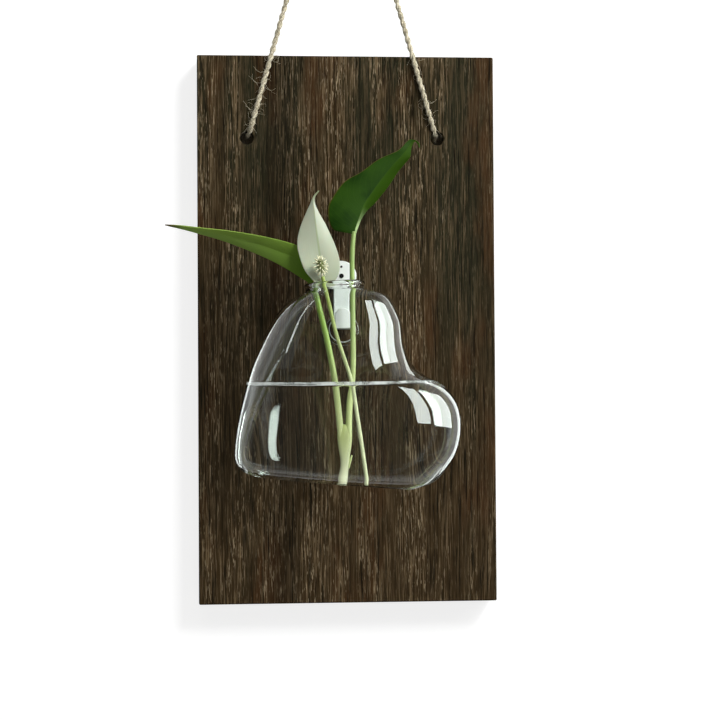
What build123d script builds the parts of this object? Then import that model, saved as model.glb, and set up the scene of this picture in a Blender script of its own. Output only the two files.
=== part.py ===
from build123d import *

# Hanging wall vase: a stained plank on a twine loop, a plastic hook, and a blown glass bottle in the
# shape of a tilted heart, with water, a leaf shoot and one flower.
# Millimetres. +X right as seen from the front, +Y into the wall, +Z up.
# The origin is the point where the bend of the twine bears on the wall nail.

import os
from math import atan2, cos, hypot, pi, radians, sin, sqrt, tan

# Twine loop
TWINE_D = 2.8
TWINE_GAP = 0.4  # twine to the face of the board
NAIL_D = 4.0  # wall nail that the bend of the twine fits
LOOP_RISE = 115.0  # top edge of the board up to the nail
CROWN_FLAT = 0.1  # half of the level run of twine on top of the nail

# Board
BOARD_W = 150.0
BOARD_H = 275.5
BOARD_T = 15.0
BOARD_EDGE = 0.8
BOARD_SHIFT = 2.0  # middle of the board, right of the nail
HOLE_SPAN = 96.2
HOLE_DROP = 41.7  # top edge of the board down to the twine holes
HOLE_PLAY = 3.8  # twine hole over twine diameter
HOLE_RIM = 0.8
KNOT_OVER = 1.6  # knot over hole diameter
KNOT_L = 5.0
KNOT_TAIL = 2.0
POCKET_PLAY = 6.0  # pocket over knot diameter
POCKET_SPARE = 1.6  # knot tail to the back of the board

# Hook
HOOK_X = -1.0
HOOK_DROP = 111.3  # top edge of the board down to the middle of the head
HEAD_D = 15.2
HOOK_T = 2.2
STRAP_W = 8.0
SADDLE_DROP = 21.2  # middle of the head down to the saddle that the glass hangs on
ARM_H = 5.8
LIP_T = 2.2
LIP_RISE = 4.4
LIP_PLAY = 0.9  # lip to the inside of the glass
HOOK_EDGE = 0.5

# Fasteners of the hook
HOOK_NAIL_HEAD_D = 2.3
HOOK_NAIL_HEAD_T = 0.6
HOOK_NAIL_D = 1.5
HOOK_NAIL_REACH = 10.0  # shank inside the board
PIN_HEAD_D = 1.2
PIN_HEAD_T = 0.4
PIN_D = 0.8
PIN_REACH = 6.0
PIN_RISE = 4.6  # above the nail
SHANK_PLAY = 0.1  # bore over shank diameter
BORE_SPARE = 0.5  # bore past the tip of the shank

# Glass
GLASS_WALL = 2.0
GLASS_DEPTH = 47.4  # front to back over the belly
BELLY_GAP = 0.3  # belly to the face of the board
SEAT_GAP = 0.3  # edge of the hanging hole to the saddle
HANG_HOLE_D = 12.6
MOUTH_X = -4.85  # middle of the mouth, from the middle of the hanging hole
MOUTH_Z = 21.4
MOUTH_TILT = 3.4  # degrees, the mouth leans to the left
NECK_R = 14.2
SHOULDER_R = 14.8  # half depth of the body where the neck rises from it
MOUTH_BORE_R = 12.0
LIP_BEAD_R = 1.5
LIP_OUT_R = 15.05
NECK_ROOT = 6.0  # length of neck below the bead
BORE_REACH = 9.0  # length of bore below the bead

# Ribs of the bottle from the foot to the neck: left end, right end, and share of the way from the
# half depth of the shoulder to that of the belly. Points are (x, z) from the hanging hole's middle.
RIBS = [
    ((-39.0, -73.1), (32.0, -79.4), -0.50),
    ((-48.5, -70.6), (43.0, -75.9), 0.20),
    ((-53.6, -66.1), (50.6, -68.2), 0.58),
    ((-54.5, -59.5), (55.4, -59.4), 0.83),
    ((-53.3, -49.0), (57.1, -48.0), 0.97),
    ((-51.2, -38.3), (55.3, -37.3), 1.00),
    ((-49.2, -30.5), (48.9, -28.6), 0.97),
    ((-47.3, -23.3), (39.0, -23.1), 0.91),
    ((-45.2, -16.7), (32.6, -16.9), 0.83),
    ((-41.0, -7.0), (29.3, -7.1), 0.65),
    ((-35.9, 2.8), (28.3, 2.6), 0.45),
    ((-30.0, 11.0), (24.9, 11.2), 0.24),
    ((-24.8, 15.0), (20.8, 16.6), 0.10),
    ((-19.3, 17.3), (10.1, 19.4), 0.00),
]
FOOT_RIBS = 3  # ribs over which the floor turns into the wall

# Water
WATER_LEVEL = -25.5  # from the middle of the hanging hole
WATER_GAP = 0.1  # to the glass
STEM_GAP = 0.25  # to the stems that stand in it

# Leaf shoot
PETIOLE_D = 3.0
PETIOLE_BEND = 40.0
SHOOT_BACK = 2.0  # behind the middle of the mouth
LEFT_LEAN = 0.6  # left petiole to the wall of the mouth
RIGHT_LEAN = 1.5  # right petiole to the wall of the mouth
SHOOT_BASE_TOP = -50.5  # from the middle of the hanging hole
SOCKET_DEPTH = 4.0
SOCKET_PLAY = 0.1
FLOOR_GAP = 0.3  # ends of the stems to the floor of the vase
LEAF_T = 0.9
BUD_D = 2.2
BUD_L = 5.5
BUD_LEAN = 22.0  # degrees, away from the base

# Flower
STALK_D = 1.9
STALK_BEND = 60.0
FLOWER_FRONT = 7.0  # in front of the middle of the mouth
SPATHE_T = 0.8
SPATHE_SEAT = 0.3  # spathe to the stalk
SPADIX_D = 6.8
SPADIX_L = 10.6
SPADIX_LEAN = 30.0  # degrees, forward of its stalk

FACE_Y = TWINE_D / 2 + TWINE_GAP
BACK_Y = FACE_Y + BOARD_T
BOARD_TOP = -LOOP_RISE
HOLE_Z = BOARD_TOP - HOLE_DROP
HOLE_D = TWINE_D + HOLE_PLAY
KNOT_D = HOLE_D + KNOT_OVER
POCKET_D = KNOT_D + POCKET_PLAY
POCKET_DEPTH = KNOT_L + KNOT_TAIL + POCKET_SPARE
POCKET_FLOOR_Y = BACK_Y - POCKET_DEPTH
HEAD_Z = BOARD_TOP - HOOK_DROP
SADDLE_Z = HEAD_Z - SADDLE_DROP
HANG_R = HANG_HOLE_D / 2
HANG_Z = SADDLE_Z + SEAT_GAP - HANG_R
BELLY = GLASS_DEPTH / 2
VASE_Y = FACE_Y - BELLY_GAP - BELLY
SHOOT_Y = VASE_Y + SHOOT_BACK
FLOWER_Y = VASE_Y - FLOWER_FRONT
NAIL_R = NAIL_D / 2
TWINE_R = TWINE_D / 2
OVERCUT = 1.0  # how far a cutter passes the face it leaves by


def spot(x, z, y=VASE_Y):
    """A point given from the middle of the hanging hole."""
    return Vector(HOOK_X + x, y, HANG_Z + z)


def rod(x, z, radius, y_from, y_to):
    """A cylinder along Y."""
    plane = Plane(origin=(x, y_from, z), x_dir=(1, 0, 0), z_dir=(0, 1, 0))
    return extrude(plane * Circle(radius), y_to - y_from)


def tube(points, radii, radius):
    """A round rod along straight runs that tangent arcs join."""
    path = FilletPolyline(*points, radius=radii)
    return sweep((path ^ 0) * Circle(radius), path=path), path


def box_between(low, high):
    """A block between two corners."""
    size = [b - a for a, b in zip(low, high)]
    middle = [(a + b) / 2 for a, b in zip(low, high)]
    return Pos(*middle) * Box(*size)


# Board and its twine

def make_board():
    """The plank, with twine holes, knot pockets and bores for the fasteners of the hook."""
    middle = (BOARD_SHIFT, (FACE_Y + BACK_Y) / 2, BOARD_TOP - BOARD_H / 2)
    board = fillet((Pos(*middle) * Box(BOARD_W, BOARD_T, BOARD_H)).edges(), BOARD_EDGE)
    for x in (-HOLE_SPAN / 2, HOLE_SPAN / 2):
        board -= rod(x, HOLE_Z, HOLE_D / 2, FACE_Y - OVERCUT, BACK_Y + OVERCUT)
        board -= rod(x, HOLE_Z, POCKET_D / 2, POCKET_FLOOR_Y, BACK_Y + OVERCUT)
    rims = board.edges().filter_by(GeomType.CIRCLE)
    rims = [e for e in rims if abs(e.center().Y - FACE_Y) < TWINE_GAP and abs(e.radius - HOLE_D / 2) < 1e-6]
    board = fillet(rims, HOLE_RIM)
    for z, diameter, reach in fasteners():
        bore_end = FACE_Y + reach + BORE_SPARE
        board -= rod(HOOK_X, z, (diameter + SHANK_PLAY) / 2, FACE_Y - OVERCUT, bore_end)
    return board


def fasteners():
    """Height, shank diameter and reach of the nail and of the pin."""
    return [
        (HEAD_Z, HOOK_NAIL_D, HOOK_NAIL_REACH),
        (HEAD_Z + PIN_RISE, PIN_D, PIN_REACH),
    ]


def twine_route():
    """Corner points of the twine from the left knot over the nail to the right knot, and its radii."""
    bend = NAIL_R + TWINE_R
    pull = HOLE_D / 2 - TWINE_R - TWINE_GAP
    crown_z = bend - NAIL_R
    foot_z = HOLE_Z + pull
    foot_x = HOLE_SPAN / 2
    slope = atan2(foot_x, crown_z - foot_z)
    crown_x = bend * tan((radians(90) - slope) / 2) + CROWN_FLAT
    knot_y = POCKET_FLOOR_Y
    points = [
        (-foot_x, knot_y, foot_z),
        (-foot_x, 0, foot_z),
        (-crown_x, 0, crown_z),
        (crown_x, 0, crown_z),
        (foot_x, 0, foot_z),
        (foot_x, knot_y, foot_z),
    ]
    return points, [TWINE_D, bend, bend, TWINE_D]


def make_twine():
    """One length of twine from knot to knot."""
    points, radii = twine_route()
    twine, path = tube(points, radii, TWINE_R)
    share = twine.volume / (pi * TWINE_R**2 * path.length)
    print(f"twine radii {radii}, length {path.length:.1f} mm, volume over section times length {share:.4f}")
    return twine


def make_knot(x):
    """A stopper knot on the floor of its pocket, with a short tail."""
    z = twine_route()[0][0][2]
    end = POCKET_FLOOR_Y + KNOT_L
    lump = rod(x, z, KNOT_D / 2, POCKET_FLOOR_Y, end)
    lump = fillet(lump.edges(), KNOT_L / 3)
    return lump + rod(x, z, TWINE_R, end - TWINE_R, end + KNOT_TAIL)


# Hook

def arm_outline(top):
    """Front view of the arm: straight sides, square foot and a round top of the strap's width."""
    half = STRAP_W / 2
    foot = SADDLE_Z - ARM_H
    whole = Pos(HOOK_X, (foot + top) / 2) * Rectangle(STRAP_W, top - foot)
    sides = Pos(HOOK_X, foot) * Rectangle(STRAP_W, 2 * (top - half - foot))
    return whole & (sides + Pos(HOOK_X, top - half) * Circle(half))


def front_extrude(sketch, y_back, y_front):
    """Extrude an outline, drawn as (x, z), from one depth to a nearer one."""
    plane = Plane(origin=(0, y_back, 0), x_dir=(1, 0, 0), z_dir=(0, -1, 0))
    return extrude(plane * sketch, y_back - y_front)


def lip_back():
    """Depth of the back of the lip, clear of the inner face of the glass."""
    top = SADDLE_Z + LIP_RISE - HANG_Z
    return VASE_Y + half_depth_at(top) - GLASS_WALL - LIP_PLAY


def make_hook():
    """Head, strap, arm and upturned lip in one moulding."""
    foot = SADDLE_Z - ARM_H
    head = Pos(HOOK_X, HEAD_Z) * Circle(HEAD_D / 2)
    strap = Pos(HOOK_X, (HEAD_Z + foot) / 2) * Rectangle(STRAP_W, HEAD_Z - foot)
    plate = front_extrude(head + strap, FACE_Y, FACE_Y - HOOK_T)
    front = plate.faces().sort_by(Axis.Y)[0]
    plate = fillet(front.edges(), HOOK_EDGE)
    tip = lip_back() - LIP_T
    arm = front_extrude(arm_outline(SADDLE_Z), FACE_Y, tip)
    lip = front_extrude(arm_outline(SADDLE_Z + LIP_RISE), lip_back(), tip)
    hook = plate + arm + lip
    front = hook.faces().filter_by(Plane.XZ).sort_by(Axis.Y)[0]
    hook = fillet(front.edges(), HOOK_EDGE)
    for z, diameter, _ in fasteners():
        hook -= rod(HOOK_X, z, (diameter + SHANK_PLAY) / 2, FACE_Y - HOOK_T - OVERCUT, FACE_Y + OVERCUT)
    return hook


def make_fastener(index, head_d, head_t):
    """A round-headed shank driven through the head of the hook into the board."""
    z, diameter, reach = fasteners()[index]
    seat = FACE_Y - HOOK_T
    head = fillet(rod(HOOK_X, z, head_d / 2, seat - head_t, seat).edges().sort_by(Axis.Y)[0], head_t / 2)
    return head + rod(HOOK_X, z, diameter / 2, seat, FACE_Y + reach)


# Glass and water

def half_depth(share):
    """Half depth of a rib from its share of the way between shoulder and belly."""
    return SHOULDER_R + (BELLY - SHOULDER_R) * share


def half_depth_at(z):
    """Half depth of the bottle at a height above the hanging hole, between the ribs around it."""
    levels = [((left[1] + right[1]) / 2, half_depth(share)) for left, right, share in RIBS]
    for (low, near), (high, far) in zip(levels, levels[1:]):
        if low <= z <= high:
            return near + (far - near) * (z - low) / (high - low)
    return levels[-1][1]


def rib_sections(inset):
    """Elliptical cross-sections of the bottle, set inside its outer skin by a wall."""
    sections = []
    for index, (left, right, share) in enumerate(RIBS):
        turn = min(1.0, index / FOOT_RIBS)
        tilt = atan2(right[1] - left[1], right[0] - left[0])
        reach = hypot(right[0] - left[0], right[1] - left[1]) / 2 - inset * turn
        depth = half_depth(share) - inset * turn
        rise = inset * sqrt(1 - turn**2)
        middle = spot((left[0] + right[0]) / 2, (left[1] + right[1]) / 2 + rise)
        plane = Plane(origin=middle, x_dir=(cos(tilt), 0, sin(tilt)), z_dir=(-sin(tilt), 0, cos(tilt)))
        sections.append(plane * Ellipse(reach, depth))
    return sections


def mouth_plane(along):
    """The plane across the mouth, a distance along its axis from the middle of the bead."""
    tilt = radians(MOUTH_TILT)
    axis = Vector(-sin(tilt), 0, cos(tilt))
    return Plane(origin=spot(MOUTH_X, MOUTH_Z) + axis * along, x_dir=(cos(tilt), 0, sin(tilt)), z_dir=axis)


def make_cavity(inset):
    """The hollow of the bottle up to the root of the neck."""
    return loft(rib_sections(inset))


def make_glass():
    """The bottle: blown body, neck, rolled lip, and the hanging hole through the back wall."""
    neck = extrude(mouth_plane(-NECK_ROOT) * Circle(NECK_R), NECK_ROOT)
    bead = mouth_plane(0) * Torus(LIP_OUT_R - LIP_BEAD_R, LIP_BEAD_R)
    bore = extrude(mouth_plane(-BORE_REACH) * Circle(MOUTH_BORE_R), BORE_REACH + 2 * LIP_BEAD_R)
    glass = make_cavity(0) + neck + bead
    glass = glass - HOLLOW - bore
    return glass - rod(HOOK_X, HANG_Z, HANG_R, VASE_Y, FACE_Y)


def floor_at(x, y):
    """Height of the floor of the bottle under a point."""
    line = Line((x, y, HANG_Z), (x, y, HANG_Z + RIBS[0][1][1] - GLASS_WALL))
    inside = HOLLOW.intersect(line)
    return min(v.Z for e in inside for v in e.vertices())


def make_water(stems):
    """The filling up to its level, with room for the stems that stand in it."""
    top = HANG_Z + WATER_LEVEL
    reach = max(BOARD_W, GLASS_DEPTH)
    below = box_between((-reach, VASE_Y - reach, top - reach), (reach, VASE_Y + reach, top))
    water = make_cavity(GLASS_WALL + WATER_GAP) & below
    for stem in stems:
        water -= stem
    return water


# Leaf shoot

def left_petiole_points():
    """Corners of the left petiole, from its leaf down to the base."""
    lean = MOUTH_BORE_R - PETIOLE_D / 2 - LEFT_LEAN
    rows = [(MOUTH_X - lean - 0.2, 21.8), (MOUTH_X - lean + 6.4, -7.1), (-5.3, -23.3)]
    rows.append((-2.35, SHOOT_BASE_TOP))
    return [spot(x, z, SHOOT_Y) for x, z in rows]


def right_petiole_points():
    """Corners of the right petiole, from its leaf down to the base."""
    lean = MOUTH_BORE_R - PETIOLE_D / 2 - RIGHT_LEAN
    rows = [(MOUTH_X + lean + 1.2, 47.5), (MOUTH_X + lean, 35.0), (MOUTH_X + lean - 0.2, -23.4)]
    rows += [(2.0, -34.6), (1.35, SHOOT_BASE_TOP)]
    return [spot(x, z, SHOOT_Y) for x, z in rows]


def make_petiole(points, grow=0.0):
    """A round leaf stalk, or the room around it."""
    radii = [PETIOLE_BEND] * (len(points) - 2)
    low = points[-1] + (points[-1] - points[-2]).normalized() * SOCKET_DEPTH
    return tube(points[:-1] + [low], radii, PETIOLE_D / 2 + grow)[0]


def make_shoot_base(grow=0.0):
    """The common sheath of both petioles, narrowed above its cut end on the floor of the vase."""
    rows = [(0.0, -0.5, 3.75, 2.1), (-4.5, -0.5, 3.7, 2.2), (-13.4, -0.6, 1.9, 1.8)]
    end_x = -1.9
    end = floor_at(HOOK_X + end_x, SHOOT_Y) + FLOOR_GAP - (HANG_Z + SHOOT_BASE_TOP)
    rows.append((end, end_x, 2.7, 2.2))
    sections = []
    for z, x, half_w, half_d in rows:
        plane = Plane(origin=spot(x, SHOOT_BASE_TOP + z, SHOOT_Y), x_dir=(1, 0, 0), z_dir=(0, 0, 1))
        sections.append(plane * Ellipse(half_w + grow, half_d + grow))
    base = loft(sections)
    if grow == 0.0:
        for points in (left_petiole_points(), right_petiole_points()):
            base -= make_petiole(points, SOCKET_PLAY / 2)
    return base


def make_bud(grow=0.0):
    """A small side shoot that leans away from the base."""
    place = Location(spot(1.75, SHOOT_BASE_TOP - 12.6, SHOOT_Y), (0, BUD_LEAN, 0))
    bud = place * Cone(BUD_D / 2 + grow, BUD_D / 6 + grow, BUD_L + grow)
    if grow == 0.0:
        bud -= make_shoot_base(SOCKET_PLAY / 2)
    return bud


def blade(stations, thickness, creased):
    """A thin leaf: one cross-section per station, each with a middle and two edges.

    A station is (x, z), the two half widths, and the depths of the first edge, middle and second edge.
    """
    sections = []
    for index, ((x, z), (first, second), (y_first, y_middle, y_second)) in enumerate(stations):
        ahead = stations[min(index + 1, len(stations) - 1)][0]
        behind = stations[max(index - 1, 0)][0]
        run = Vector(ahead[0] - behind[0], ahead[1] - behind[1]).normalized()
        side = Vector(-run.Y, 0, run.X)
        middle = Vector(x, y_middle, z)
        edge_a = Vector(x, y_first, z) + side * first
        edge_b = Vector(x, y_second, z) - side * second
        back = Vector(0, thickness, 0)
        if creased:
            lines = Polyline(edge_a, middle, edge_b, edge_b + back, middle + back, edge_a + back, close=True)
            sections.append(make_face(lines))
            continue
        outline = ThreePointArc(edge_a, middle, edge_b)
        outline += Line(edge_b, edge_b + back)
        outline += ThreePointArc(edge_b + back, middle + back, edge_a + back)
        outline += Line(edge_a + back, edge_a)
        sections.append(make_face(outline))
    return loft(sections)


def leaf_stations(root, rows):
    """Stations of a leaf, given from the end of its petiole."""
    return [
        ((root.X + x, root.Z + z), widths, tuple(root.Y - LEAF_T / 2 + y for y in depths))
        for (x, z), widths, depths in rows
    ]


def make_left_leaf():
    """The long leaf that arches out over the left edge of the board."""
    rows = [
        ((-0.5, 1.2), (0.9, 0.9), (0.3, 0.0, -0.3)),
        ((-5.6, 8.0), (5.6, 5.2), (2.2, 0.4, -1.8)),
        ((-12.0, 13.0), (6.9, 6.7), (3.2, 0.8, -2.6)),
        ((-24.0, 17.7), (4.8, 4.8), (4.0, 0.6, -3.6)),
        ((-39.0, 22.2), (3.0, 3.0), (2.6, -0.6, -5.4)),
        ((-52.0, 25.4), (1.9, 1.9), (-0.4, -2.4, -5.6)),
        ((-64.0, 27.6), (1.0, 1.0), (-3.4, -4.4, -6.2)),
        ((-72.6, 28.6), (0.3, 0.3), (-5.4, -5.6, -6.0)),
    ]
    return blade(leaf_stations(left_petiole_points()[0], rows), LEAF_T, True)


def make_right_leaf():
    """The folded leaf that stands over the mouth to the right."""
    rows = [
        ((-0.6, 0.3), (1.0, 0.9), (0.0, 0.2, 0.4)),
        ((1.2, 4.5), (11.0, 2.4), (-2.2, 0.4, 3.0)),
        ((4.6, 11.5), (14.4, 4.4), (-3.0, 0.8, 6.0)),
        ((9.6, 20.2), (13.2, 5.2), (-2.8, 1.2, 7.0)),
        ((16.8, 29.6), (9.6, 4.8), (-1.8, 1.6, 6.4)),
        ((23.6, 36.4), (5.8, 3.4), (-0.6, 2.0, 5.4)),
        ((28.8, 40.8), (2.6, 1.6), (1.4, 2.6, 4.0)),
        ((33.0, 42.6), (0.4, 0.4), (3.4, 3.6, 3.8)),
    ]
    return blade(leaf_stations(right_petiole_points()[0], rows), LEAF_T, True)


# Flower

def stalk_points():
    """Corners of the flower stalk from the flower down to the floor of the vase."""
    foot_x = 9.7
    foot = floor_at(HOOK_X + foot_x, FLOWER_Y) + FLOOR_GAP + STALK_D / 4 - HANG_Z
    rows = [(-11.2, 25.0), (-4.9, -2.5), (2.0, -24.4), (6.1, -50.7), (foot_x, foot)]
    return [spot(x, z, FLOWER_Y) for x, z in rows]


def make_stalk(grow=0.0):
    """The thin flower stalk, or the room around it."""
    points = stalk_points()
    return tube(points, [STALK_BEND] * (len(points) - 2), STALK_D / 2 + grow)[0]


def make_spathe():
    """The white hood behind the spadix."""
    root = stalk_points()[0]
    back = STALK_D / 2 + SPATHE_SEAT
    rows = [
        ((0.7, -4.4), 1.5, -0.5, 0.0),
        ((0.1, -1.6), 3.2, -1.2, 0.0),
        ((-0.6, 2.2), 7.2, -2.2, 0.5),
        ((-1.6, 8.0), 9.6, -2.4, 1.0),
        ((-3.0, 16.0), 9.2, -2.6, 0.8),
        ((-3.9, 22.6), 7.2, -2.4, 0.2),
        ((-4.8, 29.8), 3.3, -2.2, -0.6),
        ((-4.2, 35.8), 1.1, -2.0, -1.4),
        ((-1.9, 41.4), 0.35, -2.2, -2.0),
    ]
    stations = [
        ((root.X + x, root.Z + z), (half, half), tuple(root.Y + back + y for y in (edge, middle, edge)))
        for (x, z), half, edge, middle in rows
    ]
    return blade(stations, SPATHE_T, False)


def make_spadix():
    """The blunt spike, which leans forward from the top of the stalk."""
    root = stalk_points()[0]
    rise = (stalk_points()[0] - stalk_points()[1]).normalized()
    sideways = -atan2(rise.X, rise.Z)
    lean = radians(SPADIX_LEAN)
    axis = Vector(-sin(sideways) * cos(lean), -sin(lean), cos(sideways) * cos(lean))
    plane = Plane(origin=root + axis * (SPADIX_L / 2 + SOCKET_PLAY), x_dir=(1, 0, 0), z_dir=axis)
    outline = Ellipse(SPADIX_D / 2, SPADIX_L / 2) & Pos(SPADIX_D / 2, 0) * Rectangle(SPADIX_D, SPADIX_L)
    return plane * revolve(Plane.XZ * outline, Axis.Z)


os.makedirs("parts", exist_ok=True)
HOLLOW = make_cavity(GLASS_WALL)
stem_rooms = [
    make_petiole(left_petiole_points(), STEM_GAP),
    make_petiole(right_petiole_points(), STEM_GAP),
    make_shoot_base(STEM_GAP),
    make_bud(STEM_GAP),
    make_stalk(STEM_GAP),
]
parts = {
    "back_board": make_board(),
    "hanging_twine": make_twine(),
    "left_knot": make_knot(-HOLE_SPAN / 2),
    "right_knot": make_knot(HOLE_SPAN / 2),
    "vase_hook": make_hook(),
    "hook_nail": make_fastener(0, HOOK_NAIL_HEAD_D, HOOK_NAIL_HEAD_T),
    "hook_pin": make_fastener(1, PIN_HEAD_D, PIN_HEAD_T),
    "glass_vase": make_glass(),
    "water": make_water(stem_rooms),
    "shoot_base": make_shoot_base(),
    "left_petiole": make_petiole(left_petiole_points()),
    "right_petiole": make_petiole(right_petiole_points()),
    "left_leaf": make_left_leaf(),
    "right_leaf": make_right_leaf(),
    "side_bud": make_bud(),
    "flower_stalk": make_stalk(),
    "spathe": make_spathe(),
    "spadix": make_spadix(),
}
for name, shape in parts.items():
    export_step(shape, f"parts/{name}.step")
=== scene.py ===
import logging
import random
from contextlib import contextmanager
from dataclasses import dataclass, field
from enum import Enum
from math import atan2, cos, hypot, pi, radians, sin, sqrt, tan
from typing import Callable, Iterator, Sequence

import bpy
from mathutils import Matrix, Vector


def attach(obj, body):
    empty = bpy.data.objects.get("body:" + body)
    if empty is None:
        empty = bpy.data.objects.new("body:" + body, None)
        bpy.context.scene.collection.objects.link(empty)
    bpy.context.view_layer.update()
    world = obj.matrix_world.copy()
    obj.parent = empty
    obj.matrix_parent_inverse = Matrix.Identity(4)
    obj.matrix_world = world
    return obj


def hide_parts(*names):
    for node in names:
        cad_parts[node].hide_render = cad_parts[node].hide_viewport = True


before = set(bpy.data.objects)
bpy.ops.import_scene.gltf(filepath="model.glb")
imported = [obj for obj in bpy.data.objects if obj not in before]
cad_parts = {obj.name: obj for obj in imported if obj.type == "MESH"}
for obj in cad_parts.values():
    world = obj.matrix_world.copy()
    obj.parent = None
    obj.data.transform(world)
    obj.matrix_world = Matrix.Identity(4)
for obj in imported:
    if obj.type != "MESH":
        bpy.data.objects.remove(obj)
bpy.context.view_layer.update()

LOG = logging.getLogger("wall_vase")
MM = 0.001

# Turn that lays an upright axis along the depth.
TO_BACK = (radians(90), 0.0, 0.0)

# Shared places, in millimetres: the hanging hole in the back of the glass, and depths of the layers.
HANG_X = -1.0
HANG_Z = -253.5
VASE_Y = -22.2
SHOOT_Y = -20.2
FLOWER_Y = -29.2
BOARD_BACK_Y = 16.8

# A span has two ends. A row is the first edge, midrib and second edge of a blade. A pattern is its repeats in a metre
# along each axis, its finer octaves and their strength.
Point = tuple[float, ...]
Span = tuple[float, float]
Colour = tuple[float, float, float]
Row = tuple[Point, Point, Point]
Pattern = tuple[Point, float, float]
Piece = bpy.types.Object
Material = bpy.types.Material
Socket = bpy.types.NodeSocket


class Body(Enum):
    """Moving bodies that pieces ride on."""

    BOARD = "board"
    VASE = "vase"
    SHOOT = "leaf_shoot"
    FLOWER = "flower"


class Side(Enum):
    """Left and right as seen from the front."""

    LEFT = -1
    RIGHT = 1


class Use(Enum):
    """What a lamp is there for."""

    SOFT = "lights matt surfaces"
    MIRRORED = "is mirrored by shiny surfaces"
    THROUGH = "is seen through the glass"


def spot(x: float, z: float, y: float = VASE_Y) -> Vector:
    """A place in metres, from millimetres off the middle of the hanging hole.

    Args:
        x: Millimetres to the right.
        z: Millimetres up.
        y: Depth in millimetres, in the object's own frame.

    Returns:
        The place in the object's frame.
    """
    return Vector((HANG_X + x, y, HANG_Z + z)) * MM


def flowing(points: Sequence[Point], steps: int) -> list[Point]:
    """A smooth line through points of any number of coordinates.

    Args:
        points: Places that the line passes through.
        steps: Parts that each span is divided into.

    Returns:
        Points along the line, both ends included.
    """
    ends = [tuple(2 * a - b for a, b in zip(points[0], points[1])), *points,
            tuple(2 * a - b for a, b in zip(points[-1], points[-2]))]
    line = []
    for before, here, there, after in zip(ends, ends[1:], ends[2:], ends[3:]):
        for step in range(steps):
            t = step / steps
            line.append(tuple(
                0.5 * (2 * b + (c - a) * t + (2 * a - 5 * b + 4 * c - d) * t**2 + (3 * b - a - 3 * c + d) * t**3)
                for a, b, c, d in zip(before, here, there, after)))
    line.append(tuple(points[-1]))
    return line


def ease(value: float, low: float, high: float) -> float:
    """A soft step from 0 at low to 1 at high."""
    t = min(1.0, max(0.0, (value - low) / (high - low)))
    return t * t * (3 - 2 * t)


@dataclass(frozen=True)
class Ring:
    """One oval cross-section, across X and Y and turned about Y."""

    centre: Vector
    half_x: float
    half_y: float
    tilt: float = 0.0


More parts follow.
